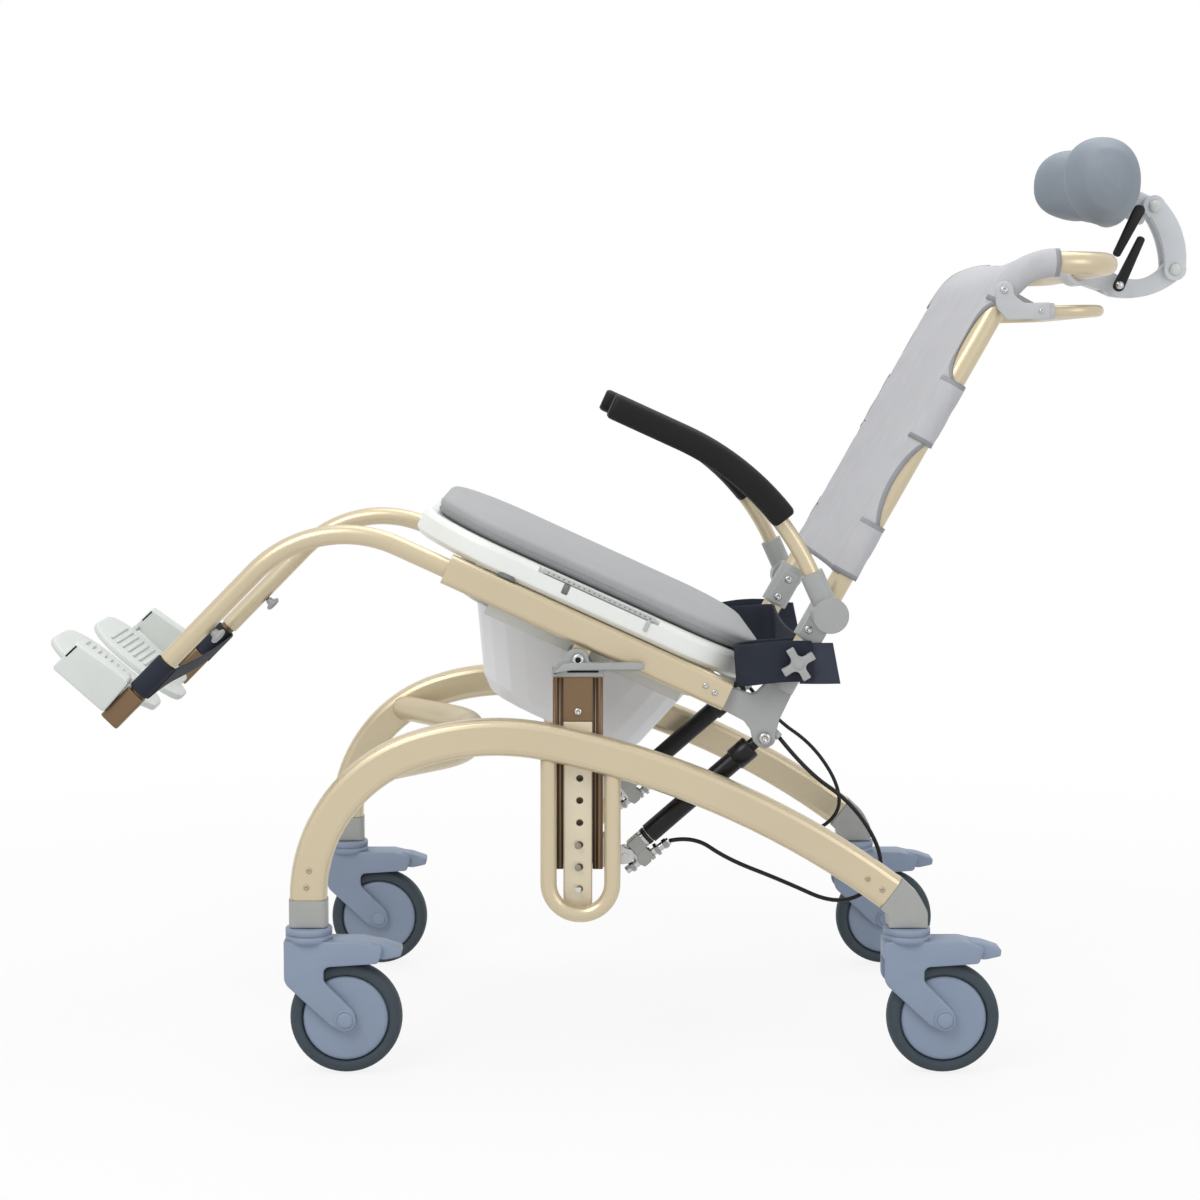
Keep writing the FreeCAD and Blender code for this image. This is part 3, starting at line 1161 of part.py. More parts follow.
up_outer = [(head_top_x, head_top_z + 12.5), (head_top_x + 38, head_top_z - 9),
            (head_mid_x + 12.5, head_mid_z)]
up_inner = [(head_top_x, head_top_z - 12.5), (head_top_x + 24, head_top_z - 32),
            (head_mid_x - 13.5, head_mid_z)]
cheeks = []
for low in (-cheek_y1, cheek_y0):
    cheek = arc_band(up_outer, up_inner, low, low + head_cheek)
    for x, z in ((head_mid_x, head_mid_z), (head_top_x, head_top_z)):
        cheek = cheek.fuse(cross_rod(x, z, low, low + head_cheek, head_boss_r))
    cheek = cheek.cut(cross_rod(head_mid_x, head_mid_z, -40, 40, head_pin_r + run_gap))
    cheeks.append(cheek)
upper_arm = cheeks[0].fuse(cheeks[1]).fuse(cross_rod(head_top_x, head_top_z, -cheek_y1 - 2, cheek_y1 + 2,
                                                     head_pin_r))
export("headrest_upper_arm", seated(upper_arm.removeSplitter()))

# Headrest pad: foam with two wings, sections across the chair, and the mounting block behind it
wing_turn = -seat_tilt


def pad_section(y, x, z, half_deep, half_high):
    r = 0.86 * min(half_deep, half_high)
    wire = outline([V(-half_deep, y, -half_high), V(half_deep, y, -half_high), V(half_deep, y, half_high),
                    V(-half_deep, y, half_high)], [r] * 4, 2)
    wire.rotate(V(0, 0, 0), V(0, 1, 0), wing_turn)
    wire.translate(V(x, 0, z))
    return wire


lobe_x, lobe_z = 320.0, 732.0
rows = [(132, 0, 0, 13, 18), (124, 0, 0, 29, 36), (106, 0, 0, 41, 48), (84, 0, 0, 45, 51),
        (56, 10, 3, 37, 49), (26, 20, 6, 29, 46)]
sections = [pad_section(-y, lobe_x + dx, lobe_z + dz, deep, high) for y, dx, dz, deep, high in rows]
sections += [pad_section(y, lobe_x + dx, lobe_z + dz, deep, high) for y, dx, dz, deep,
             high in reversed(rows)]
foam = stack(sections)
block = box(lobe_x + 30, head_top_x - 2, -half_arm, half_arm, head_top_z - 13, head_top_z + 12)
block = block.fuse(cross_rod(head_top_x, head_top_z, -half_arm, half_arm, head_boss_r - 1))
lever_x, lever_z = head_top_x - 18.5, head_top_z - 16.0
block = block.fuse(box(lever_x - 10, lever_x + 8, -half_arm, half_arm, lever_z - 7, head_top_z - 8))
block = block.cut(foam)
block = max(block.Solids, key=lambda s: s.Volume)
lever_y = cheek_y1 + 13.5
block = block.fuse(cross_rod(lever_x, lever_z, -half_arm + 2, -lever_y - 6, 4.0))
block = block.cut(cross_rod(head_top_x, head_top_z, -40, 40, head_pin_r + run_gap)).removeSplitter()
export("headrest_pad", seated(foam), seated(block))


def lever(x, z, y, reach, turn):
    """Clamp lever that stands up or hangs from its pin."""
    grip = side_plate([(x - 4.5, z), (x + 4.5, z), (x + 4.0, z + reach), (x - 4.0, z + reach)],
                      [0, 0, 3.9, 3.9], y, y + 7.0)
    grip = grip.fuse(cross_rod(x, z, y, y + 7.0, 9.0))
    grip.rotate(V(x, 0, z), V(0, 1, 0), turn)
    return grip


lower_lever = lever(head_low_x, head_low_z, -cheek_y1 - 10.0, 62.0, 0.0)
lower_lever = lower_lever.cut(cross_rod(head_low_x, head_low_z, -60, 60, head_pin_r + run_gap))
export("headrest_lever_lower", seated(lower_lever))
upper_lever = lever(lever_x, lever_z, -lever_y - 7.0, 58.0, 178.0)
upper_lever = upper_lever.cut(cross_rod(lever_x, lever_z, -60, 60, 4.0 + run_gap))
export("headrest_lever_upper", seated(upper_lever))
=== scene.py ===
import bmesh
import bpy
from math import copysign, cos, exp, pi, radians, sin, tan
from mathutils import Matrix, Vector


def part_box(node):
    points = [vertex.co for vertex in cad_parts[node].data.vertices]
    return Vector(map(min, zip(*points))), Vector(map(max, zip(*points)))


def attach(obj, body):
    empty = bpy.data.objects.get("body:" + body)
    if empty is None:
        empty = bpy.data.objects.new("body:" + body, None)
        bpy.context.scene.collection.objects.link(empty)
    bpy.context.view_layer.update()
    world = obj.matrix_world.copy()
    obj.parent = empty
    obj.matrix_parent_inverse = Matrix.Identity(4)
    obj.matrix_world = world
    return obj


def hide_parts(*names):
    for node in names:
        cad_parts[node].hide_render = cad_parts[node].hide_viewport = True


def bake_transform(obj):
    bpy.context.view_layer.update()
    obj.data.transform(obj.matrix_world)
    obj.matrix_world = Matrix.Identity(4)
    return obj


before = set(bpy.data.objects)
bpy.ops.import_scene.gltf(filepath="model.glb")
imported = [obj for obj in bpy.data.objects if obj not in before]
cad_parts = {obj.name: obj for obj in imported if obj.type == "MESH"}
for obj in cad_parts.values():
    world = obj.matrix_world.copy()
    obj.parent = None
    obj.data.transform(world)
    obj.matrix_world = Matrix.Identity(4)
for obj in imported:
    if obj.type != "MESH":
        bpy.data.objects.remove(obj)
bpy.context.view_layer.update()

MM = 0.001
scene = bpy.context.scene


# Studio: a long lens at seat height beside the chair, white surroundings and three large soft lamps. The pale
# floor keeps the chair's shadow and turns white away from it.
def add(name, data):
    """New object in the scene."""
    made = bpy.data.objects.new(name, data)
    scene.collection.objects.link(made)
    return made


camera_data = bpy.data.cameras.new("camera")
camera_data.sensor_fit = "HORIZONTAL"
camera_data.sensor_width = 36.0
camera_data.lens = 72.91
camera_data.shift_x = 0.0322
camera = add("camera", camera_data)
camera.location = (-0.0787, -2.905, 0.7816)
camera.rotation_euler = (radians(90.0 - 5.452), 0.0, 0.0)
scene.camera = camera
scene.view_settings.view_transform = "Standard"

WHITE = (1.0, 1.0, 1.0, 1.0)


def node(tree, kind, **values):
    """New shader node of a kind, with values for its inputs."""
    made = tree.nodes.new("ShaderNode" + kind)
    for key, value in values.items():
        made.inputs[key.replace("_", " ")].default_value = value
    return made


def wire(tree, *links):
    """Link nodes, each time from a node's output to another node's input."""
    for start, output, end, entry in links:
        tree.links.new(start.outputs[output], end.inputs[entry])


def seen_rays(tree):
    """Node whose value is 1 for what the camera sees, straight, mirrored or through glass."""
    path, pair, total = node(tree, "LightPath"), node(tree, "Math"), node(tree, "Math")
    pair.operation = total.operation = "MAXIMUM"
    wire(tree, (path, "Is Glossy Ray", pair, 0), (path, "Is Transmission Ray", pair, 1),
         (path, "Is Camera Ray", total, 0), (pair, "Value", total, 1))
    return total


world = bpy.data.worlds.new("studio")
world.use_nodes = True
scene.world = world
tree = world.node_tree
surround = tree.nodes["Background"]
surround.inputs["Strength"].default_value = 0.66
way, height, half = node(tree, "TexCoord"), node(tree, "SeparateXYZ"), node(tree, "MapRange", From_Min=-1.0)
sky = node(tree, "ValToRGB")
low_sky, high_sky = sky.color_ramp.elements
low_sky.position, low_sky.color = 0.30, (0.16, 0.16, 0.17, 1.0)
high_sky.position, high_sky.color = 0.80, (0.98, 0.99, 1.0, 1.0)
backdrop = node(tree, "Background", Color=WHITE, Strength=1.0)
choose = node(tree, "MixShader")
wire(tree, (way, "Generated", height, "Vector"), (height, "Z", half, "Value"), (half, "Result", sky, "Fac"),
     (sky, "Color", surround, "Color"), (seen_rays(tree), "Value", choose, "Fac"),
     (surround, "Background", choose, 1), (backdrop, "Background", choose, 2),
     (choose, "Shader", tree.nodes["World Output"], "Surface"))

for name, place, aim, size, power in (
        ("key", (-1.5, -2.2, 2.9), (0.0, 0.0, 0.45), 1.7, 44.0),
        ("top", (0.5, 0.5, 3.0), (0.0, 0.0, 0.3), 2.2, 29.0),
        ("side", (2.4, -2.4, 1.3), (0.1, 0.0, 0.5), 1.4, 13.0)):
    lamp = bpy.data.lights.new(name, "AREA")
    lamp.size = size
    lamp.energy = power
    lamp_object = add(name, lamp)
    lamp_object.location = place
    lamp_object.rotation_euler = (Vector(aim) - Vector(place)).to_track_quat("-Z", "Y").to_euler()

floor_mesh = bpy.data.meshes.new("floor")
floor_mesh.from_pydata([(-9, -9, -0.001), (9, -9, -0.001), (9, 9, -0.001), (-9, 9, -0.001)], [],
                       [(0, 1, 2, 3)])
floor = add("floor", floor_mesh)
pale = bpy.data.materials.new("pale_floor")
pale.use_nodes = True
tree = pale.node_tree
shader = tree.nodes["Principled BSDF"]
shader.inputs["Base Color"].default_value = (0.80, 0.80, 0.80, 1.0)
shader.inputs["Roughness"].default_value = 0.8
glow = node(tree, "Emission", Color=WHITE, Strength=1.0)
place, away, share, choose = [node(tree, kind) for kind in ("TexCoord", "VectorMath", "Math", "MixShader")]
away.operation, share.operation = "LENGTH", "MULTIPLY"
fade = node(tree, "MapRange", From_Min=0.6, From_Max=2.0, To_Min=0.86)
wire(tree, (place, "Object", away, 0), (away, "Value", fade, "Value"), (seen_rays(tree), "Value", share, 0),
     (fade, "Result", share, 1), (share, "Value", choose, "Fac"), (shader, "BSDF", choose, 1),
     (glow, "Emission", choose, 2), (choose, "Shader", tree.nodes["Material Output"], "Surface"))
floor_mesh.materials.append(pale)


# Release cables: black sheathed wires, 4.8 mm, from the gland on each side plate down in a loose loop
# and back to the adjuster of the gas spring's release head.
def finish(name, screen, rough, metallic=0.0, vary=0.04, scale=40.0, grain=900.0, bump=0.05, spread=0.08,
           edge=0.0, shine=0.5):
    """Surface of a screen colour: broad drift, fine grain, uneven gloss, edges rounded off by edge metres."""
    base = [((value / 255.0 + 0.055) / 1.055) ** 2.4 for value in screen]
    made = bpy.data.materials.new(name)
    made.use_nodes = True
    tree = made.node_tree
    shader = tree.nodes["Principled BSDF"]
    shader.inputs["Metallic"].default_value = metallic
    shader.inputs["Specular IOR Level"].default_value = shine
    place, ramp = node(tree, "TexCoord"), node(tree, "ValToRGB")
    drift = node(tree, "TexNoise", Scale=scale, Detail=4.0)
    fine = node(tree, "TexNoise", Scale=grain, Detail=2.0)
    for stop, position, share in zip(ramp.color_ramp.elements, (0.3, 0.7), (1.0 - vary, 1.0 + vary)):
        stop.position = position
        stop.color = [min(c * share, 1.0) for c in base] + [1.0]
    gloss = node(tree, "MapRange", To_Min=max(rough - spread, 0.03), To_Max=min(rough + spread, 1.0))
    relief = node(tree, "Bump", Strength=bump, Distance=0.0004)
    wire(tree, (place, "Object", drift, "Vector"), (drift, "Fac", ramp, "Fac"),
         (ramp, "Color", shader, "Base Color"), (place, "Object", fine, "Vector"),
         (fine, "Fac", gloss, "Value"), (gloss, "Result", shader, "Roughness"),
         (fine, "Fac", relief, "Height"), (relief, "Normal", shader, "Normal"))
    if edge:
        worn = node(tree, "Bevel", Radius=edge)
        worn.samples = 6
        wire(tree, (worn, "Normal", relief, "Normal"))
    return made


def mesh_of(name, bm):
    """Mesh of a finished build, with its faces turned outward."""
    bmesh.ops.recalc_face_normals(bm, faces=bm.faces)
    mesh = bpy.data.meshes.new(name)
    bm.to_mesh(mesh)
    bm.free()
    return mesh


def shown(name, mesh, material):
    """Add a finished mesh to the scene in its material."""
    mesh.materials.append(material)
    return add(name, mesh)


def spline_points(name, points):
    """Points along one smooth curve that takes the given points as its control points."""
    data = bpy.data.curves.new(name, "CURVE")
    data.dimensions = "3D"
    data.resolution_u = 10
    line = data.splines.new("NURBS")
    line.points.add(len(points) - 1)
    for knot, place in zip(line.points, points):
        knot.co = (place[0], place[1], place[2], 1.0)
    line.order_u = 3
    line.use_endpoint_u = True
    holder = add(name, data)
    mesh = bpy.data.meshes.new_from_object(holder)
    found = [vertex.co.copy() for vertex in mesh.vertices]
    bpy.data.meshes.remove(mesh)
    bpy.data.objects.remove(holder)
    return found


def skin_over(bm, loops):
    """Faces between each loop of points and the next."""
    count = len(loops[0])
    for a, b in zip(loops, loops[1:]):
        for k in range(count):
            bm.faces.new((a[k], a[(k + 1) % count], b[(k + 1) % count], b[k]))


def tube_mesh(name, line, radius, sides=16):
    """Round tube with closed ends along a line of points."""
    bm = bmesh.new()
    rings = []
    turns = [2 * pi * k / sides for k in range(sides)]
    normal = (line[1] - line[0]).normalized().orthogonal().normalized()
    for i, place in enumerate(line):
        ahead = (line[min(i + 1, len(line) - 1)] - line[max(i - 1, 0)]).normalized()
        normal = (normal - ahead * normal.dot(ahead)).normalized()
        other = ahead.cross(normal)
        rings.append([bm.verts.new(place + (normal * cos(a) + other * sin(a)) * radius) for a in turns])
    skin_over(bm, rings)
    bm.faces.new(list(reversed(rings[0])))
    bm.faces.new(rings[-1])
    return mesh_of(name, bm)


TILT = radians(24.5)
PIVOT_X, PIVOT_Z = -60.3, 460.4


def seat_at(x, y, z):
    """Point of the level seat, in mm from its pivot, in the frame of the standing chair, in metres."""
    return Vector((PIVOT_X + x * cos(TILT) + z * sin(TILT), y, PIVOT_Z - x * sin(TILT) + z * cos(TILT))) * MM


SIDES = (("left", -1), ("right", 1))
CABLE_ACROSS = 0.0048
sheath = finish("cable_sheath", (18, 18, 20), 0.42, vary=0.06, shine=0.3)
cable_line = ((164.8, 212.0, 370.4), (196.3, 212.0, 330.9), (246.3, 210.0, 296.9), (281.3, 207.0, 243.9),
              (281.3, 205.0, 202.9), (235.3, 203.0, 175.9), (170.3, 192.0, 203.9), (108.3, 202.0, 229.9),
              (70.0, 198.0, 256.0), (43.0, 198.0, 250.0))
for side, sign in SIDES:
    run = spline_points("cable_route", [Vector((x, y * sign, z)) * MM for x, y, z in cable_line])
    mesh = tube_mesh("release_cable_" + side, run, CABLE_ACROSS / 2)
    cable = shown("release_cable_" + side, mesh, sheath)
    mesh.shade_smooth()
    length = sum((b - a).length for a, b in zip(run, run[1:]))
    tuple(run[0])
    tuple(run[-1])
    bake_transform(cable)
    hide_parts("release_cables")
    tuple(run[0])
    [tuple(p) for p in run]

# Champagne frame tubes: aluminium in a fine metallic satin paint, welded and bent. The guide profiles
# have the same paint, drawn paler as painted light where they stand in shade.
champagne = finish("champagne_paint", (208, 194, 164), 0.32, metallic=0.5, vary=0.03, scale=6.0, grain=1400.0,
                   bump=0.03, spread=0.05, edge=0.002)


def dress(material, *names):
    """Give CAD nodes their material."""
    for name in names:
        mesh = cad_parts[name].data
        mesh.materials.clear()
        mesh.materials.append(material)


dress(champagne, "side_rails", "guard_loops", "cross_tube", "seat_frame", "back_frame",
      "release_bar", "armrest_tube_left", "armrest_tube_right", "leg_tube_left", "leg_tube_right")

# Guide profiles: the champagne paint drawn paler, painted light on parts that stand in shade.
guide_lit_champagne = finish("guide_lit_champagne", (226, 215, 190), 0.34, metallic=0.3, vary=0.03, scale=6.0, grain=1400.0,
                    bump=0.03, edge=0.002)
dress(guide_lit_champagne, "guide_profiles")

# Brown anodised extrusions: the lift columns, which slide on the guides, and the leg bars, which slide in the
# leg tubes.
brown = finish("brown_anodised", (126, 102, 76), 0.34, metallic=0.6, scale=10.0, bump=0.03, edge=0.001)
dress(brown, "lift_columns", "leg_bar_left", "leg_bar_right")

# Grey castings and mouldings: pivot brackets, side plates, clamps, elbows and knobs, and the slightly duller
# fittings on the rail ends.
casting = {"scale": 30.0, "grain": 700.0, "bump": 0.08}
cast_grey = finish("cast_grey", (166, 168, 167), 0.42, edge=0.002, **casting)
dress(cast_grey, "pivot_brackets", "side_plates", "arm_clamps", "armrest_elbow_left",
      "armrest_elbow_right", "cross_knob_left", "cross_knob_right", "leg_knob_left", "leg_knob_right")
fitting_grey = finish("fitting_grey", (168, 169, 166), 0.5, edge=0.003, **casting)
dress(fitting_grey, "rail_end_fittings")

# Headrest hardware: pale grey arms and dark clamp levers. The arms of the release bar are a darker grey.
arm_grey = finish("headrest_grey", (214, 217, 221), 0.42, scale=30.0, grain=700.0, bump=0.06, edge=0.0015)
dress(arm_grey, "headrest_base", "headrest_lower_arm", "headrest_upper_arm")
release_grey = finish("release_grey", (194, 196, 198), 0.42, edge=0.002, **casting)
dress(release_grey, "release_arms")
lever_black = finish("lever_black", (20, 20, 22), 0.4, vary=0.06, grain=800.0, bump=0.06, shine=0.25)
dress(lever_black, "headrest_lever_lower", "headrest_lever_upper")

# Steel: caster stems, gas spring brackets and rods. The gas cylinders are in gloss black.
steel = finish("bright_steel", (190, 190, 190), 0.25, metallic=1.0, scale=60.0, bump=0.03)
dress(steel, "caster_stems", "gas_brackets", "gas_rods")
gas_black = finish("gas_black", (14, 14, 15), 0.3, vary=0.05, bump=0.02, shine=0.3)
dress(gas_black, "gas_cylinders")

# Casters: blue-grey nylon forks and brake pedals, grey rubber tyres.
caster_blue = finish("caster_blue", (138, 152, 173), 0.48, vary=0.03, scale=25.0, grain=800.0, bump=0.08,
                     edge=0.003)
corners = [end + "_" + side for end in ("front", "rear") for side in ("left", "right")]
dress(caster_blue, *["caster_fork_" + name for name in corners], *["brake_pedal_" + name for name in corners])
tyre_grey = finish("tyre_grey", (66, 76, 83), 0.62, vary=0.05, bump=0.1, shine=0.25)
dress(tyre_grey, *["caster_wheel_" + name for name in corners])

# Seat and legs: white moulded ring, milky pan, white foot plates and brackets. Soft goods: grey lid skin and
# back cloth, navy webbing, black and grey foam.
ring_white = finish("ring_white", (238, 240, 236), 0.3, vary=0.015, scale=12.0, grain=500.0, bump=0.03,
                    edge=0.003)
dress(ring_white, "seat_ring")
pan_clear = finish("pan_clear", (240, 241, 244), 0.38, vary=0.02, scale=10.0, grain=500.0, bump=0.04,
                   edge=0.006)
dress(pan_clear, "commode_pan")
foot_white = finish("foot_white", (215, 219, 215), 0.5, vary=0.02, scale=20.0, grain=700.0, bump=0.08,
                    edge=0.0025)
dress(foot_white, "foot_plate_left", "foot_plate_right", "foot_bracket_left", "foot_bracket_right")
lid_grey = finish("lid_grey", (161, 162, 163), 0.55, vary=0.03, scale=20.0, bump=0.1)
dress(lid_grey, "seat_lid")
cloth_grey = finish("cloth_grey", (193, 193, 196), 0.8, vary=0.03, grain=1500.0, bump=0.15)
dress(cloth_grey, "back_sling")
strap_navy = finish("strap_navy", (46, 50, 60), 0.75, vary=0.06, grain=1500.0, bump=0.15, shine=0.15)
dress(strap_navy, "hip_strap", "heel_strap")
# Black foam for the armrest pads; the same black also serves as painted shade in the pivot gaps and the foot
# cover slots.
black_foam_and_shade = finish("black_foam_and_shade", (24, 24, 26), 0.55, vary=0.06, grain=1200.0, bump=0.1, shine=0.2)
dress(black_foam_and_shade, "armrest_pad_left", "armrest_pad_right")
foam_grey = finish("foam_grey", (136, 145, 155), 0.55, vary=0.03, grain=1200.0, bump=0.08)
dress(foam_grey, "headrest_pad")


# Caster wheels: a smooth blue-grey hub cover 95 mm across in a grey rubber tyre, 125 mm by 28 mm, with a
# dark shadow gap between them. They turn on the fork's axle.
def piece(name, mesh, material, body, slot, *nodes):
    """Add a finished mesh as a piece that rides on a body and stands for CAD nodes."""
    made = shown(name, mesh, material)
    mesh.shade_smooth()
    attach(made, body)
    if nodes:
        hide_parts(*nodes)
    return made


def add_turned(bm, profile, place, way, steps=48):
    """Turned piece: profile of radius and height in mm, from a place in metres out along a way."""
    before = set(bm.verts)
    ring = [bm.verts.new((r * MM, 0.0, h * MM)) for r, h in profile]
    edges = [bm.edges.new((a, b)) for a, b in zip(ring, ring[1:])]
    bmesh.ops.spin(bm, geom=ring + edges, cent=(0, 0, 0), axis=(0, 0, 1), angle=2 * pi, steps=steps,
                   use_merge=True)
    new = [v for v in bm.verts if v not in before]
    turn = Vector((0, 0, 1)).rotation_difference(Vector(way)).to_matrix().to_4x4()
    bmesh.ops.transform(bm, matrix=Matrix.Translation(place) @ turn, verts=new)


def built(name, bm, material, body, slot, *nodes):
    """Add a finished build as a piece, with its doubled points joined."""
    bmesh.ops.remove_doubles(bm, verts=bm.verts, dist=1e-6)
    return piece(name, mesh_of(name, bm), material, body, slot, *nodes)


def mirrored(half):
    """Closed profile from its near half."""
    return list(half) + [(r, -y) for r, y in reversed(half)] + [half[0]]


hub_profile = mirrored(((5.06, -12.6), (11.0, -12.9), (17.0, -13.0), (18.0, -12.6),
                        (19.5, -12.5), (30.0, -12.7), (42.0, -12.4), (45.6, -11.9),
                        (46.9, -10.6), (47.1, -7.5), (48.5, -6.5)))
tyre_profile = mirrored(((48.6, -10.0), (49.4, -12.6), (51.0, -13.4), (55.0, -13.9), (58.6, -13.0),
                         (60.8, -10.6), (62.0, -6.6), (62.5, -2.2)))
axles = {}
for name in corners:
    low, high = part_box("caster_wheel_" + name)
    axles[name] = (Vector(low) + Vector(high)) / 2
    for part, profile, material, slot in (("hub_", hub_profile, caster_blue, "caster_blue"),
                                          ("tyre_", tyre_profile, tyre_grey, "wheel_grey")):
        bm = bmesh.new()
        add_turned(bm, profile, axles[name], (0, 1, 0), 64)
        built(part + name, bm, material, "wheel_" + name, slot, "caster_wheel_" + name)


# Back sling: one grey cloth stretched in front of the back tubes, with a cut-out at each side between two
# sleeves and a shoulder sleeve, all edges bound with a darker tape 5.5 mm wide.
BACK_Y, BACK_R, BACK_FOOT = 212.0, 12.5, (230.08, 205.0)
BACK_LEAN, BACK_BEND, BACK_TURN = radians(4.6), 60.0, radians(60.9)
BEND_FROM, BEND_TO = 360.0, 423.8
CLOTH_HIGH, CLOTH_THICK, CLOTH_EDGE, TAPE = 430.5, 0.0014, 14.0, 5.5


def sling_frame(s):
    """Tube axis s mm up from the cloth's lower edge, in the seat's side view: place, and front way."""
    up = Vector((sin(BACK_LEAN), cos(BACK_LEAN)))
    front = Vector((-cos(BACK_LEAN), sin(BACK_LEAN)))
    turn = min(max(s - BEND_FROM, 0.0) / BACK_BEND, BACK_TURN)
    ahead = up * cos(turn) - front * sin(turn)
    facing = front * cos(turn) + up * sin(turn)
    place = Vector(BACK_FOOT) + up * min(s, BEND_FROM) + (facing - front) * BACK_BEND
    return place + ahead * max(s - BEND_TO, 0.0), facing


def sling_point(s, p, lift):
    """Point of the cloth: p mm across from the front of the left tube, lift off the tube's skin."""
    place, facing = sling_frame(s)
    r = BACK_R + lift
    past = p - 2 * BACK_Y
    if p < 0.0:
        y, n = -BACK_Y - r * sin(-p / r), r * cos(p / r)
    elif past > 0.0:
        y, n = BACK_Y + r * sin(past / r), r * cos(past / r)
    else:
        t = p / BACK_Y - 1.0
        edge = exp(-((1.0 - abs(t)) / 0.22) ** 2) * (1.0 - abs(t)) * 5.0
        slack = (1.0 - t * t) * (11.0 - 5.0 * min(s / 400.0, 1.0))
        folds = edge * 1.1 * sin(s / 11.0 + 9.0 * t)
        folds += (1.0 - t * t) * 1.1 * sin(s / 45.0 + 2.0 * t + 0.7)
        y, n = p - BACK_Y, r - slack + folds
    return seat_at(place.x + facing.x * n, y, place.y + facing.y * n)


def cloth_piece(name, rows, sides_bound, *nodes):
    """Cloth of even thickness through rows of points, with tape along its ends, and its sides where bound."""
    high, wide = len(rows) - 1, len(rows[0]) - 1
    cells = [(i, j) for i in range(high) for j in range(wide)]
    corner_numbers = [i * (wide + 1) + j for i, j in cells]
    mesh = bpy.data.meshes.new(name)
    mesh.from_pydata([point for row in rows for point in row], [],
                     [(a, a + 1, a + wide + 2, a + wide + 1) for a in corner_numbers])
    made = piece(name, mesh, cloth_grey, "seat", "sling_cloth", *nodes)
    mesh.materials.append(binding_grey)
    for polygon, (i, j) in zip(mesh.polygons, cells):
        polygon.material_index = int(i in (0, high - 1) or (sides_bound and j in (0, wide - 1)))
    skin = made.modifiers.new("thickness", "SOLIDIFY")
    skin.thickness = CLOTH_THICK
    skin.offset = 0.0
    return made


binding_grey = finish("binding_grey", (152, 153, 157), 0.75, vary=0.05, grain=1500.0, bump=0.2)
cuts = ((60.0, 178.0, 36.0, 19.0, 0.6), (243.0, 346.0, 34.0, 32.0, 0.4))
sleeves = ((1.5, 68.0), (170.0, 247.0), (342.0, 430.0))
steps_up = sorted({0.0, TAPE, CLOTH_HIGH - TAPE, CLOTH_HIGH} | {k * 4.3 for k in range(2, 99)})
rows = []
for s in steps_up:
    edge = CLOTH_EDGE
    for low, high, most, drop, bend in cuts:
        if low < s < high:
            edge = most - drop * sin(pi * (s - low) / (high - low)) ** bend
    span = 2 * BACK_Y + 2.0 * edge
    middle = [2 * TAPE + (span - 4 * TAPE) * k / 60.0 for k in range(61)]
    rows.append([sling_point(s, p - edge, 1.2) for p in [0.0, TAPE] + middle + [span - TAPE, span]])
sling = cloth_piece("back_cloth", rows, True, "back_sling")
for low, high in sleeves:
    inside = [low + TAPE + (high - low - 2 * TAPE) * k / 16.0 for k in range(1, 16)]
    for side, sign in SIDES:
        rows = []
        for s in [low, low + TAPE] + inside + [high - TAPE, high]:
            ring = [sling_point(s, -(4.0 + 80.0 * k / 26.0),
                                2.4 + 0.35 * sin(s / 6.0 + k)) for k in range(27)]
            rows.append([Vector((p.x, -p.y * sign, p.z)) for p in ring])
        cloth_piece("sleeve_%s_%d" % (side, low), rows, False)


# Seat lid: soft grey cushion cover on the white ring, crowned, with a seam over a lower band drawn darker,
# painted shade of the gap at the lid's base.
def rounded_ring(front, rear, half, near, far, z, steps=10):
    """Points of a level outline in mm, with corners rounded by near in front and far at the rear."""
    points = []
    corners = ((front + near, near - half, near, 180), (rear - far, far - half, far, 270),
               (rear - far, half - far, far, 0), (front + near, half - near, near, 90))
    for i, (x, y, r, start) in enumerate(corners):
        for k in range(steps + 1):
            a = radians(start + 90.0 * k / steps)
            points.append((x + r * cos(a), y + r * sin(a), z))
        x2, y2, r2, start2 = corners[(i + 1) % 4]
        a = radians(start2)
        end = (x2 + r2 * cos(a), y2 + r2 * sin(a))
        last = points[-1]
        for k in range(1, 8):
            points.append((last[0] + (end[0] - last[0]) * k / 8.0, last[1] + (end[1] - last[1]) * k / 8.0, z))
    return points


def ring_mesh(name, rings):
    """Closed skin through rings of points, with both ends drawn together to a middle point."""
    bm = bmesh.new()
    loops = [[bm.verts.new(p) for p in ring] for ring in rings]
    skin_over(bm, loops)
    count = len(loops[0])
    for ring in (loops[0], loops[-1]):
        middle = bm.verts.new(sum((v.co for v in ring), Vector()) / count)
        for k in range(count):
            bm.faces.new((ring[k], ring[(k + 1) % count], middle))
    return mesh_of(name, bm)


RING_FRONT, RING_REAR, RING_HALF, RING_TOP, BAND_ROWS = -221.0, 193.0, 223.0, 77.6, 5
lid_base_shade_grey = finish("lid_base_shade", (134, 135, 137), 0.6, vary=0.03, scale=20.0, bump=0.1)
rings = []
for z, inset in ((0.0, 40.0), (0.0, 9.0), (1.4, 7.0), (3.0, 2.4), (5.0, 1.6), (6.8, 2.0), (7.5, 3.2),
                 (8.2, 2.0), (11.0, 0.6), (15.0, 0.4), (17.0, 1.4), (19.0, 4.0), (20.5, 8.0), (22.0, 16.0),
                 (23.5, 30.0), (25.0, 52.0), (26.2, 80.0), (26.8, 110.0), (27.0, 150.0)):
    part = inset + 8.0
    ring = rounded_ring(RING_FRONT + part, RING_REAR - part, RING_HALF - part, max(105.0 - part, 6.0),
                        max(95.0 - part, 6.0), RING_TOP + z)
    rings.append([seat_at(*p) for p in ring])
lid = piece("lid_cushion", ring_mesh("lid_cushion", rings), lid_grey, "lid", "lid_skin", "seat_lid")
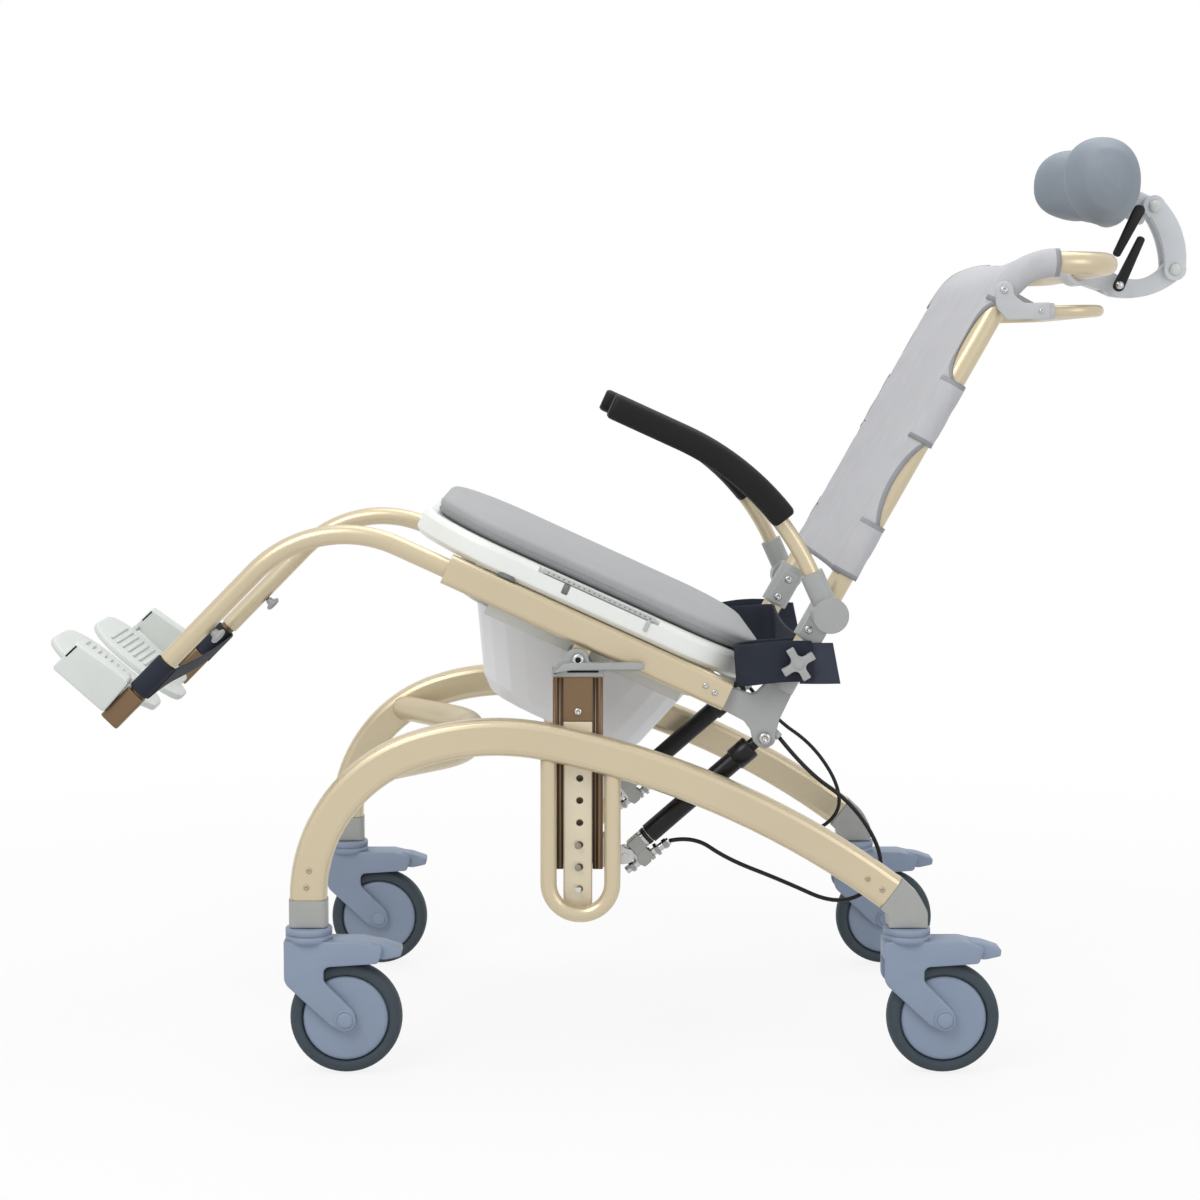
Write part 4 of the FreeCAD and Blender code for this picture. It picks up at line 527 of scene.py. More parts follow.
# The lowest rows take a darker grey: painted shade at the lid's base, where it meets the ring.
lid.data.materials.append(lid_base_shade_grey)
for polygon in lid.data.polygons:
    if polygon.index < BAND_ROWS * len(rings[0]):
        polygon.material_index = 1


# Headrest pad: self-skinned foam with two deep wings joined by a lower middle, on a grey mounting block.
def smooth_between(table, y):
    """Values at y of a table of rows that rises in its first column, by a smooth curve."""
    i = max(k for k in range(len(table) - 1) if table[k][0] <= y or k == 0)
    rows = [table[max(i - 1, 0)], table[i], table[i + 1], table[min(i + 2, len(table) - 1)]]
    t = (y - rows[1][0]) / (rows[2][0] - rows[1][0])
    out = []
    for a, b, c, d in zip(*(row[1:] for row in rows)):
        curve = (2 * a - 5 * b + 4 * c - d) * t * t + (3 * b - a - 3 * c + d) * t ** 3
        out.append(0.5 * (2 * b + (c - a) * t + curve))
    return out


WING_END, PAD_X, PAD_Z = 135.0, 325.0, 734.0
half_rows = ((135.0, 0.0, 0.0, 6.0, 9.0), (132.0, 0.0, 0.0, 15.0, 20.0), (124.0, 0.0, 0.0, 29.0, 36.0),
             (106.0, 0.0, 0.0, 41.0, 48.0), (84.0, 0.0, 0.0, 45.0, 51.0), (56.0, 10.0, 3.0, 37.0, 49.0),
             (26.0, 20.0, 6.0, 29.0, 46.0), (0.0, 22.0, 6.5, 27.5, 45.5))
table = [(-row[0],) + row[1:] for row in half_rows] + list(reversed(half_rows[:-1]))
rings = []
for k in range(73):
    y = -WING_END * cos(pi * k / 72.0)
    dx, dz, deep, high = smooth_between(table, y)
    ring = []
    for m in range(48):
        a = 2 * pi * m / 48
        drawn = 1.0 - 0.13 * max(0.0, cos(a - radians(222.0))) ** 2
        drawn -= 0.30 * min(max(y / 70.0, 0.0), 1.0) * max(0.0, -sin(a)) ** 1.4
        x = drawn * deep * copysign(abs(cos(a)) ** 0.92, cos(a))
        z = drawn * high * copysign(abs(sin(a)) ** 0.92, sin(a))
        turned = (x * cos(TILT) - z * sin(TILT), x * sin(TILT) + z * cos(TILT))
        ring.append(seat_at(PAD_X + dx + turned[0], y, PAD_Z + dz + turned[1]))
    rings.append(ring)
head_pad = piece("headrest_foam", ring_mesh("headrest_foam", rings), foam_grey, "head_pad", "head_foam",
                 "headrest_pad")


def block_mesh(name, low, high, bevel):
    """Block between two corners in mm on the seat, with rounded edges."""
    bm = bmesh.new()
    bmesh.ops.create_cube(bm, size=1.0)
    for v in bm.verts:
        v.co = Vector([low[i] + (v.co[i] + 0.5) * (high[i] - low[i]) for i in range(3)])
    bmesh.ops.bevel(bm, geom=list(bm.edges), offset=bevel, affect="EDGES", segments=3, profile=0.5,
                    material=-1)
    for v in bm.verts:
        v.co = seat_at(v.co.x, v.co.y, v.co.z)
    return mesh_of(name, bm)


block = block_mesh("headrest_block", (352.0, -8.0, 722.0), (405.0, 8.0, 757.0), 3.5)
piece("headrest_block", block, arm_grey, "head_pad", "head_arm_grey", "headrest_pad")

# Armrest pads: black foam with rounded edges, 41 mm by 29 mm, moulded round the bent tubes.
PAD_LONG, PAD_STRAIGHT, PAD_BEND, ARM_Y, ARM_X, ARM_Z = 229.0, 84.5, 295.0, 259.0, -84.0, -24.06
PAD_WIDE, PAD_HIGH, PAD_SQUARE = 20.5, 14.5, 0.62
stations = [0.0, 1.2, 3.5, 7.0, 12.0] + [12.0 + 205.0 * k / 34.0 for k in range(1, 34)]
stations += [217.0, 222.0, 225.5, 227.8, PAD_LONG]
for side, sign in SIDES:
    rings = []
    for s in stations:
        shrink = 1.0 - 0.16 * max(0.0, 1.0 - min(s, PAD_LONG - s) / 5.0) ** 2.0
        turn = max(s - PAD_STRAIGHT, 0.0) / PAD_BEND
        ring = []
        for m in range(40):
            a = 2 * pi * m / 40
            w = PAD_WIDE * copysign(abs(cos(a)) ** PAD_SQUARE, cos(a)) * shrink
            h = PAD_HIGH * copysign(abs(sin(a)) ** PAD_SQUARE, sin(a)) * shrink
            ring.append(seat_at(ARM_X + min(s, PAD_STRAIGHT) + (PAD_BEND + h) * sin(turn),
                                sign * ARM_Y + w, ARM_Z + (PAD_BEND + h) * cos(turn)))
        rings.append(ring)
    pad = piece("arm_foam_" + side, ring_mesh("arm_foam_" + side, rings), black_foam_and_shade, "armrest_" + side,
                "pad_black", "armrest_pad_" + side)


# Hip strap: navy webbing 46 mm wide, clamped to each socket by a cross knob, folded round the front of the
# back tube and across behind the seat. Heel strap: the same webbing, sewn round both leg bars.
WEB, WEB_THICK = 46.0, 2.6
KNOB_X, KNOB_Z = 221.47, 98.0
WEB_SECTION = ((-0.5, -0.3), (-0.47, -0.5), (-0.3, -0.5), (0.3, -0.5), (0.47, -0.5), (0.5, -0.3), (0.5, 0.3),
               (0.47, 0.5), (0.3, 0.5), (-0.3, 0.5), (-0.47, 0.5), (-0.5, 0.3))


def ribbon_mesh(name, line, thick, place):
    """Webbing along a line in a plane; place maps the line's two values and a value across to the seat."""
    bm = bmesh.new()
    loops = []
    for i, spot in enumerate(line):
        ahead = (Vector(line[min(i + 1, len(line) - 1)]) - Vector(line[max(i - 1, 0)])).normalized()
        normal = Vector((-ahead.y, ahead.x))
        loop = []
        for a, b in WEB_SECTION:
            moved = Vector(spot) + normal * (b * thick)
            loop.append(bm.verts.new(place(moved.x, moved.y, a * WEB)))
        loops.append(loop)
    skin_over(bm, loops)
    bm.faces.new(loops[0])
    bm.faces.new(loops[-1])
    return mesh_of(name, bm)


def corner(before, p, after, radius, steps):
    """Points of a rounded corner at p between its two neighbours."""
    p = Vector(p)
    a, b = (p - Vector(before)).normalized(), (Vector(after) - p).normalized()
    half = a.angle(b) / 2
    reach = radius * tan(half)
    centre = p + (b - a).normalized() * (radius / cos(half))
    start, end = p - a * reach - centre, p + b * reach - centre
    turns = [2 * half * k / steps for k in range(steps + 1)]
    return [centre + (start * sin(2 * half - t) + end * sin(t)) / sin(2 * half) for t in turns]


def turned_line(points, radii, steps=9, step=9.0):
    """Line in a plane through points, with rounded turns."""
    line = [Vector(points[0])]
    for i in range(1, len(points) - 1):
        arc = corner(points[i - 1], points[i], points[i + 1], radii[i - 1], steps)
        count = int((arc[0] - line[-1]).length / step)
        for k in range(count):
            line.append(line[-1] + (arc[0] - line[-1]) / (count + 1 - k))
        line += arc
    first, last = line[-1], Vector(points[-1])
    count = max(int((last - first).length / step), 1)
    return line + [first + (last - first) * (k / count) for k in range(1, count + 1)]


SLOPE = radians(29.0)


def strap_at(s, y, across, slope, z):
    """Place on a strap that slopes up from the knob's line at height z: s along it, across upward."""
    return seat_at(KNOB_X + s * cos(slope) - across * sin(slope), y, z + s * sin(slope) + across * cos(slope))


def hip_place(s, y, across):
    """Place on the strap: s along its outer panels, y across the chair; the panels bow outward."""
    lift = -7.0 * max(0.0, 1.0 - (abs(y) / 185.0) ** 2)
    if abs(y) > 215.0:
        bow = sin(pi * min(max((s + 66.0) / 84.0, 0.0), 1.0))
        lift += 3.5 * bow
        y += copysign(5.0 * bow + 0.06 * bow * across, y)
    return strap_at(s, y, across, SLOPE, KNOB_Z + lift)


def flap_place(s, y, across):
    """Place on a flap behind a knob, which hangs a little lower and turns in at its end."""
    s -= 0.0055 * (s - 4.0) * across
    y -= copysign(0.004 * (s - 4.0) ** 2 - 0.03 * across, y)
    return strap_at(s, y, across, SLOPE - 0.10, KNOB_Z - 1.0)


hip_line = turned_line(((17.0, -240.0), (-66.0, -240.0), (-66.0, -192.5), (12.0, -192.5), (12.0, 192.5),
                        (-66.0, 192.5), (-66.0, 240.0), (17.0, 240.0)), (23.5, 23.5, 16.0, 16.0, 23.5, 23.5))
piece("hip_webbing", ribbon_mesh("hip_webbing", hip_line, 3.0, hip_place), strap_navy, "seat", "strap_navy",
      "hip_strap")
# The flaps are the same navy webbing drawn lighter: painted light on the folded ends.
flap_lit_navy = finish("flap_lit_navy", (62, 66, 79), 0.75, vary=0.06, grain=1500.0, bump=0.15, shine=0.2)
for side, sign in SIDES:
    line = [(4.0 + 41.0 * k / 16.0, 236.8 * sign) for k in range(17)]
    flap = ribbon_mesh("hip_flap_" + side, line, WEB_THICK, flap_place)
    piece("hip_flap_" + side, flap, flap_lit_navy, "seat", "strap_navy", "hip_strap")


LEG_Y, FOOT_X, FOOT_Z = 212.0, -446.41, -281.60
LEG_COS, LEG_SIN = 0.9397, 0.3420
HEEL_UP, HEEL_R, RIGHT_BACK = 69.0, 10.9, -11.28


def leg_at(p, y, u, pull=0.0):
    """Place by the left leg bar's lower end, or a bar set back by pull: p ahead of the bar, u up along it."""
    return seat_at(FOOT_X + pull - LEG_COS * p + LEG_SIN * u, y, FOOT_Z + LEG_SIN * p + LEG_COS * u)


def heel_place(p, y, across):
    """Place on the heel strap: p ahead of the left bar, across down it; the slack band gathers upward."""
    slack = max(0.0, 1.0 - (abs(y) / 205.0) ** 8)
    return leg_at(p, y, HEEL_UP - across * (1.0 - 0.38 * slack) + 11.0 * slack)


def heel_line(y):
    """Place of the band behind the bars: it bows back behind the heels."""
    return -12.0 - 5.5 * (1 + y / LEG_Y) - 4.0 * (1 - (y / LEG_Y) ** 2), y


def heel_loop(middle_p, middle_y):
    """Turn of the strap round one leg bar."""
    turns = [2 * pi * k / 40 for k in range(41)]
    return [(middle_p + HEEL_R * cos(a), middle_y + HEEL_R * sin(a)) for a in turns]


for name, first, last, a, b, loops in (
        ("left_end", -209.0, -104.5, "shin_left", "leg_left", ((0.0, -LEG_Y),)),
        ("left", -104.5, 0.0, "leg_left", "seat", ()),
        ("right", 0.0, 104.5, "seat", "leg_right", ()),
        ("right_end", 104.5, 209.0, "leg_right", "shin_right", ((RIGHT_BACK, LEG_Y),))):
    bm = bmesh.new()
    lines = [heel_loop(*spot) for spot in loops]
    lines.append([heel_line(first + (last - first) * k / 24.0) for k in range(25)])
    for line in lines:
        part = ribbon_mesh("heel_part", line, WEB_THICK, heel_place)
        bm.from_mesh(part)
        bpy.data.meshes.remove(part)
    heel = shown("heel_webbing_" + name, mesh_of("heel_webbing_" + name, bm), strap_navy)
    start_y, end_y = max(first, -188.0), min(last, 188.0)
    heel_place(0.0, start_y, 0.0)
    heel_place(0.0, end_y, 0.0)
    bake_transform(heel)
    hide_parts("heel_strap")


# Screws and bolts: button heads with a round recess, on the rail ends, the side plates, the armrest clamps
# and the pivots.
def screws(name, places, material, body, slot):
    """Add round screw heads: place and outward way in metres, radius and height in mm."""
    bm = bmesh.new()
    for place, way, r, h in places:
        profile = ((r, 0.0), (r, 0.35 * h), (0.86 * r, 0.8 * h), (0.6 * r, h), (0.52 * r, h),
                   (0.46 * r, 0.9 * h), (0.46 * r, 0.3 * h), (0.0, 0.3 * h))
        add_turned(bm, profile, place, way, 24)
    built(name, bm, material, body, slot)


def both_sides(places):
    """The same places on both sides of the chair; each faces out on the sitter's left."""
    out = []
    for place, r, h in places:
        out.append((Vector(place), (0, -1, 0), r, h))
        out.append((Vector((place[0], -place[1], place[2])), (0, 1, 0), r, h))
    return out


screw_dull = finish("screw_dull", (176, 164, 138), 0.4, metallic=0.6, vary=0.05, scale=60.0, bump=0.03)
base_heads = both_sides([((-0.3571, -0.2640, 0.2293), 3.3, 1.4), ((-0.3602, -0.2640, 0.2103), 3.3, 1.4),
                         ((0.2596, -0.2640, 0.2203), 3.3, 1.4), ((0.2757, -0.2640, 0.2080), 3.3, 1.4)])
screws("base_screws", base_heads, screw_dull, "base", "champagne_paint")
lift_heads = both_sides([((-0.0603, -0.2376, 0.4604), 6.8, 2.4), ((-0.0603, -0.2336, 0.402), 4.4, 2.0)])
screws("lift_bolts", lift_heads, steel, "lift", "steel")
seat_heads = both_sides([(seat_at(141.8, -225.6, 31.4), 3.6, 2.2), (seat_at(154.2, -225.6, 28.5), 3.6, 2.2),
                         (seat_at(227.0, -220.8, 4.3), 7.0, 3.4), (seat_at(218.0, -233.2, 136.0), 4.6, 2.2),
                         (seat_at(222.0, -233.2, 160.0), 4.6, 2.2)])
for x, z in ((223.0, 134.5), (226.0, 160.0)):
    for sign in (-1, 1):
        seat_heads.append((seat_at(x, sign * 192.7, z), (0, -sign, 0), 4.6, 2.2))
screws("seat_bolts", seat_heads, steel, "seat", "steel")


# Caster forks: two cheeks that sweep back to the axle, a hood over the wheel, and a swivel head of two discs
# round the stem. Brake pedals: a tapering leaf that stands out behind the hood.
def rounded_loop(points, radii, steps=6):
    """Closed loop through points with rounded corners."""
    loop = []
    for i, p in enumerate(points):
        if radii[i] > 0.0:
            loop += corner(points[i - 1], p, points[(i + 1) % len(points)], radii[i], steps)
        else:
            loop.append(Vector(p))
    return loop


def rounded_box(x0, z0, x1, z1, radius=0.0, steps=3):
    """Closed loop round a rectangle, with rounded corners."""
    return rounded_loop(((x0, z0), (x1, z0), (x1, z1), (x0, z1)), (radius,) * 4, steps)


def add_plate(bm, loop, y0, y1, bevel, place):
    """Flat piece of that outline between two planes, with its rims rounded; place maps mm to the frame."""
    part = bmesh.new()
    low = [part.verts.new((p[0], y0, p[1])) for p in loop]
    high = [part.verts.new((p[0], y1, p[1])) for p in loop]
    part.faces.new(low)
    part.faces.new(high)
    for i in range(len(loop)):
        k = (i + 1) % len(loop)
        part.faces.new((low[i], low[k], high[k], high[i]))
    bmesh.ops.recalc_face_normals(part, faces=part.faces)
    if bevel:
        rims = [e for e in part.edges if abs(e.verts[0].co.y - e.verts[1].co.y) < 1e-6]
        bmesh.ops.bevel(part, geom=rims, offset=bevel, affect="EDGES", segments=3, profile=0.5, material=-1,
                        clamp_overlap=True)
    for v in part.verts:
        v.co = place(v.co.x, v.co.y, v.co.z)
    mesh = mesh_of("plate", part)
    bm.from_mesh(mesh)
    bpy.data.meshes.remove(mesh)


def add_pair(bm, loop, y0, y1, bevel, place):
    """The same plate on both sides of the chair."""
    for sign in (-1, 1):
        add_plate(bm, loop, sign * y0, sign * y1, bevel, place)


def place_from(origin):
    """Map from mm about a place to the frame."""
    return lambda x, y, z: origin + Vector((x, y, z)) * MM


cheek_loop = rounded_loop(((-26.2, 150.6), (-26.2, 104.0), (24.0, 57.0), (41.0, 47.5), (57.0, 66.0),
                           (17.6, 106.0), (17.6, 122.0), (78.0, 126.0), (84.0, 145.0), (60.0, 150.6)),
                          (0.0, 16.0, 6.0, 15.0, 13.0, 10.0, 7.0, 5.0, 5.0, 12.0))
hood_loop = rounded_loop(((-26.2, 150.6), (-26.2, 129.6), (78.0, 129.6), (83.0, 145.0), (60.0, 150.6)),
                         (0.0, 0.0, 3.0, 5.0, 12.0))
leaf_loop = rounded_loop(((58.0, 150.9), (84.0, 147.6), (103.6, 141.0), (103.0, 133.0), (84.0, 128.6),
                          (74.0, 131.5)), (6.0, 40.0, 3.2, 3.2, 20.0, 4.0))
FORK_TRAIL = 0.041
for name in corners:
    axle = axles[name]
    origin = Vector((axle.x - FORK_TRAIL, axle.y, 0.0))
    caster_place = place_from(origin)
    bm = bmesh.new()
    add_plate(bm, cheek_loop, -21.0, -16.0, 1.6, caster_place)
    add_plate(bm, cheek_loop, 16.0, 21.0, 1.6, caster_place)
    add_plate(bm, hood_loop, -20.2, 20.2, 2.5, caster_place)
    add_turned(bm, ((0.0, 149.0), (26.0, 149.0), (26.0, 155.4), (24.6, 156.0), (24.6, 157.0), (26.0, 157.4),
                    (26.0, 162.6), (25.0, 163.9),
                    (22.0, 164.3), (7.0, 164.3), (7.0, 150.0), (0.0, 150.0)), origin, (0, 0, 1))
    for way in (-1.0, 1.0):
        add_turned(bm, ((12.0, 0.0), (12.0, 1.2), (11.2, 1.8), (9.6, 1.8), (9.2, 1.2), (8.8, 1.2), (8.4, 2.6),
                        (6.0, 3.2), (0.0, 3.4)), axle + Vector((0, way * 0.0208, 0)), (0, way, 0))
    built("fork_" + name, bm, caster_blue, "caster_" + name, "caster_blue", "caster_fork_" + name)
    bm = bmesh.new()
    add_plate(bm, leaf_loop, -14.6, 14.6, 2.2, caster_place)
    built("pedal_" + name, bm, caster_blue, "brake_" + name, "caster_blue", "brake_pedal_" + name)


# Foot plates: white ribbed soles with wide rounded toes and heels, hinged by a barrel beside the brackets.
FEET = (("left", 1, 0.0), ("right", -1, 12.0))
HINGE_Y, HINGE_UP = -191.0, 7.0


def foot_place(pull, sign, tip, rise):
    """Map at a foot: ahead of the leg bar, across, and up along the bar, tipped toe down and raised."""
    lean = radians(tip)

    def place(x, y, z):
        return leg_at(x * cos(lean) + z * sin(lean), y * sign, z * cos(lean) - x * sin(lean) + rise, pull)
    return place


def add_sole(bm, loop, z0, z1, bevel, place):
    """Level plate of that outline, with its rims rounded."""
    add_plate(bm, [(x, y) for x, y in loop], z0, z1, bevel, lambda a, b, c: place(a, c, b))


sole_loop = rounded_loop(((-10.5, -179.0), (115.0, -179.0), (115.0, -11.0), (-24.0, -11.0), (-24.0, -82.0),
                          (-10.5, -101.0)), (30.0, 46.0, 58.0, 40.0, 14.0, 14.0), 10)
for side, sign, pull in FEET:
    place = foot_place(pull, sign, 4.5, 10.0)
    bm = bmesh.new()
    add_sole(bm, sole_loop, 0.0, 8.0, 2.6, place)
    for k in range(11):
        x = k * 8.6
        add_sole(bm, rounded_box(x, -150.0, x + 4.2, -40.0, 2.0), 7.6, 9.8, 0.9, place)
    add_sole(bm, rounded_box(20.0, -187.0, 77.0, -174.0, 2.0), 1.0, 6.6, 1.0, place)
    level = foot_place(pull, sign, 0.0, 0.0)
    root = level(18.0, HINGE_Y, HINGE_UP)
    add_turned(bm, ((0.0, 0.0), (4.6, 0.0), (5.0, 0.4), (5.0, 60.6), (4.6, 61.0), (0.0, 61.0)), root,
               level(19.0, HINGE_Y, HINGE_UP) - root, 32)
    built("sole_" + side, bm, foot_white, "foot_" + side, "foot_white", "foot_plate_" + side)

# Foot brackets: white box covers with a slot at the toe, clamped to squarish brown ends of the leg bars. The
# slot is a thin black plate of painted shade in the gap.
cover_loop = rounded_loop(((14.0, 51.0), (86.0, 40.0), (86.0, 1.5), (11.5, 5.0)), (5.0, 3.0, 4.0, 4.0))
end_loop = rounded_box(-12.0, -224.0, 12.0, -201.0, 5.0, 6)
for side, sign, pull in FEET:
    place = foot_place(pull, sign, 0.0, 0.0)
    bm = bmesh.new()
    add_plate(bm, cover_loop, -231.0, -200.5, 2.0, place)
    for p in (11.0, 80.0):
        add_plate(bm, rounded_box(p, 1.0, p + 6.0, 13.0), -202.0, -186.0, 1.0, place)
    built("foot_cover_" + side, bm, foot_white, "shin_" + side, "foot_white", "foot_bracket_" + side)
    bm = bmesh.new()
    add_sole(bm, end_loop, -0.4, 43.5, 1.2, place)
    built("bar_end_" + side, bm, brown, "shin_" + side, "brown_anodised", "foot_bracket_" + side)
    bm = bmesh.new()
    # Slot at the toe: a thin black plate, painted shade in the gap.
    add_plate(bm, ((83.0, 22.0), (84.8, 22.0), (84.2, 38.6), (82.2, 38.6)), -231.3, -200.2, 0.0, place)
    built("cover_slot_shade_" + side, bm, black_foam_and_shade, "shin_" + side, "foot_white")

# Leg knobs: round mushroom knobs on short necks, which clamp the leg bars in the tubes.
KNOB_UP = 153.1
knob_profile = ((0.0, 9.6), (3.0, 9.6), (3.0, 12.4), (4.5, 12.5), (4.7, 15.0), (5.6, 17.2), (8.4, 18.4),
                (9.5, 19.4), (9.6, 20.8), (8.6, 22.8), (5.8, 24.1), (0.0, 24.6))
for side, sign, pull in FEET:
    place = foot_place(pull, sign, 0.0, 0.0)
    root = place(0.0, -LEG_Y, KNOB_UP)
    bm = bmesh.new()
    add_turned(bm, knob_profile, root, place(-1.0, -LEG_Y, KNOB_UP) - root, 40)
    built("round_knob_" + side, bm, cast_grey, "knob_leg_" + side, "grey_cast", "leg_knob_" + side)

# Details of the seat ring: a ribbed strip in the side channel and an end clip; a slot, a finger notch and the
# gaps between the ribs are dark grey plates of painted shade.
rib_grey = finish("rib_grey", (190, 192, 190), 0.5, vary=0.03, grain=700.0)
ring_recess_shade = finish("ring_recess_shade", (118, 122, 118), 0.6, vary=0.03, grain=700.0)
bm, dark = bmesh.new(), bmesh.new()
add_pair(bm, rounded_box(-76.0, 71.0, 62.0, 75.6, 1.0, 2), 217.4, 221.6, 0.6, seat_at)
add_pair(bm, rounded_box(52.0, 58.0, 57.0, 71.5, 1.5), 221.0, 223.4, 0.6, seat_at)
# Dark grey plates: painted shade in the slot, the finger notch and between the ribs.
add_pair(dark, rounded_box(-48.0, 58.5, -40.5, 70.0, 1.2), 220.0, 222.3, 0.0, seat_at)
notch = rounded_loop(((-120.0, 47.8), (-98.0, 47.8), (-102.0, 53.0), (-116.0, 53.0)), (0.0, 0.0, 3.0, 3.0), 3)
add_pair(dark, notch, 219.0, 222.25, 0.0, seat_at)
for k in range(21):
    x = -70.0 + k * 6.2
    add_pair(dark, rounded_box(x, 72.6, x + 1.6, 74.2), 221.0, 221.9, 0.0, seat_at)
built("ring_strips", bm, rib_grey, "seat", "ring_white")
built("ring_recess_shade_plates", dark, ring_recess_shade, "seat", "ring_white")

# Headrest levers: flat black clamp levers on their pins, the upper one further out. A domed steel bolt holds
# the lower lever, and pale caps close the two joints.
for name, x, z, tip, y in (("lower", 405.6, 644.2, (405.6, 706.0), -33.0),
                           ("upper", 387.8, 730.2, (385.8, 672.0), -39.8)):
    way = (Vector(tip) - Vector((x, z))).normalized()
    side = Vector((-way.y, way.x))
    heel, end = Vector((x, z)) - way * 7.5, Vector(tip)
    loop = rounded_loop((heel - side * 7.0, end - side * 4.6, end + side * 4.6, heel + side * 7.0),
                        (6.5, 3.6, 3.6, 6.5))
    bm = bmesh.new()
    add_plate(bm, loop, y, y + 6.0, 1.6, seat_at)
    add_turned(bm, ((0.0, 0.0), (5.0, 0.0), (5.0, 9.0), (0.0, 9.0)), seat_at(x, y + 4.0, z), (0, 1, 0), 32)
    built("clamp_lever_" + name, bm, lever_black, "lever_" + name, "black_plastic", "headrest_lever_" + name)
for name, body, x, z, y, r, material, slot in (
        ("low", "seat", 405.6, 644.2, -32.8, 5.0, steel, "steel"),
        ("mid", "head_lower", 460.6, 690.1, -16.8, 7.0, foot_white, "head_arm_grey"),
        ("top", "head_upper", 406.3, 746.2, -16.8, 7.0, foot_white, "head_arm_grey")):
    bm = bmesh.new()
    add_turned(bm, ((r, 0.0), (r, 1.0), (0.93 * r, 2.2), (0.75 * r, 3.4), (0.45 * r, 4.2), (0.0, 4.5)),
               seat_at(x, y, z), (0, -1, 0), 32)
    built("head_bolt_" + name, bm, material, body, slot)


# Column ribs: the lips of the C profile show as pairs of fine ribs down the outer face of each lift column,
# with dark brown strips beside them: painted shade of the grooves.
def column_at(x, y, z):
    """Place by a lift column: x from its middle, z above the floor, in mm."""
    return Vector((PIVOT_X + x, y, z)) * MM


# Dark brown strips standing for the grooves: painted shade on the anodised face.
groove_shade_brown = finish("groove_shade_brown", (56, 43, 30), 0.5, metallic=0.2, bump=0.03)
for name, places, wide, outer, material in (
        ("column_ribs", (-26.6, -20.8, 18.9, 25.2), 1.4, 234.8, brown),
        ("column_groove_shade", (-23.4, -18.6, 16.4, 20.4), 2.3, 234.2, groove_shade_brown)):
    bm = bmesh.new()
    for x in places:
        add_pair(bm, rounded_box(x, 226.0, x + wide, 440.0), 233.4, outer, 0.0, column_at)
    built(name, bm, material, "lift", "brown_anodised")

# Guide holes: the two below the columns are closed by grey plugs, and the lowest by a white square one.
plug_grey = finish("plug_grey", (150, 144, 128), 0.5, grain=800.0, bump=0.04)
guide_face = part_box("guide_profiles")[1][1] / MM
bm = bmesh.new()
for sign in (-1, 1):
    for z in (227.8, 252.8):
        add_turned(bm, ((3.8, 0.0), (3.8, 0.6), (3.2, 1.0), (0.0, 1.0)),
                   column_at(0.0, sign * (guide_face - 1.4), z), (0, sign, 0), 24)
built("guide_plugs", bm, plug_grey, "base", "champagne_paint")
bm = bmesh.new()
add_pair(bm, rounded_box(-3.6, 199.6, 3.6, 206.0, 0.8), guide_face - 1.0, guide_face + 0.6, 0.3, column_at)
built("guide_stops", bm, foot_white, "base", "champagne_paint")


# Release bar cheeks: each arm of the release bar has an outer cheek on the back tube's outer side, with its
# bolts, and a bridge to the arm.
def bar_frame(u, y, v):
    """Place by the release bar: u along it from its front end, v above it, in mm."""
    return seat_at(303.0 + 0.9008 * u - 0.4343 * v, y, 559.5 + 0.4343 * u + 0.9008 * v)


cheek_out = rounded_loop(((-51.5, 32.5), (-51.5, 6.0), (-40.0, -9.0), (8.0, -9.0), (8.0, 9.0), (-20.0, 9.0),
                          (-31.0, 17.0), (-33.5, 32.5)), (9.0, 14.0, 8.0, 2.0, 2.0, 8.0, 8.0, 8.5))
bridge = rounded_box(-10.0, -8.0, 7.0, 8.0, 3.0, 6)
bm = bmesh.new()
add_pair(bm, cheek_out, 228.6, 234.0, 1.4, bar_frame)
add_pair(bm, bridge, 186.0, 229.5, 1.0, bar_frame)
bolts = []
for sign in (-1, 1):
    for u, v, r in ((-42.5, 23.5, 4.2), (-2.0, 0.0, 2.8)):
        bolts.append((bar_frame(u, sign * 233.9, v), (0, sign, 0), r, 2.0))
built("release_cheeks", bm, release_grey, "release", "grey_cast")
screws("release_bolts", bolts, steel, "release", "steel")

# Cross knobs: four straight arms with square ends and hollow corners, turned a third of the way round.
points = []
for k in range(4):
    a = radians(55.5 + 90.0 * k)
    ahead, aside = Vector((cos(a), sin(a))), Vector((-sin(a), cos(a)))
    arm = ahead * 19.4
    points += [Vector((KNOB_X, KNOB_Z)) + p for p in (arm - aside * 4.7, arm + aside * 4.7,
                                                      (ahead + aside) * 4.0)]
star = rounded_loop(points, (1.5, 1.5, 6.0) * 4, 5)
for side, sign in SIDES:
    bm = bmesh.new()
    add_plate(bm, star, sign * 249.0, sign * 257.0, 1.2, seat_at)
    add_turned(bm, ((0.0, 0.0), (7.0, 0.0), (7.0, 12.0), (6.0, 17.2), (3.0, 18.0), (0.0, 18.2)),
               seat_at(KNOB_X, sign * 240.0, KNOB_Z), (0, sign, 0), 32)
    built("star_knob_" + side, bm, cast_grey, "knob_cross_" + side, "grey_cast", "cross_knob_" + side)

# Pivot bracket details: a rounded bar along the arm, and black plates of painted shade for the shadow gap
# under it and the socket of the pivot bolt.
pivot_at = place_from(Vector((PIVOT_X, 0.0, PIVOT_Z)) * MM)
bar_loop = rounded_loop(((-27.0, -14.2), (-17.0, -4.6), (-8.0, -3.0), (73.5, -3.4), (73.5, -10.6),
                         (-6.0, -11.0), (-20.0, -13.2), (-26.0, -17.0)),
                        (2.0, 6.0, 6.0, 3.4, 3.4, 6.0, 6.0, 2.0))
bm, dark = bmesh.new(), bmesh.new()
add_pair(bm, bar_loop, 235.0, 240.6, 2.0, pivot_at)
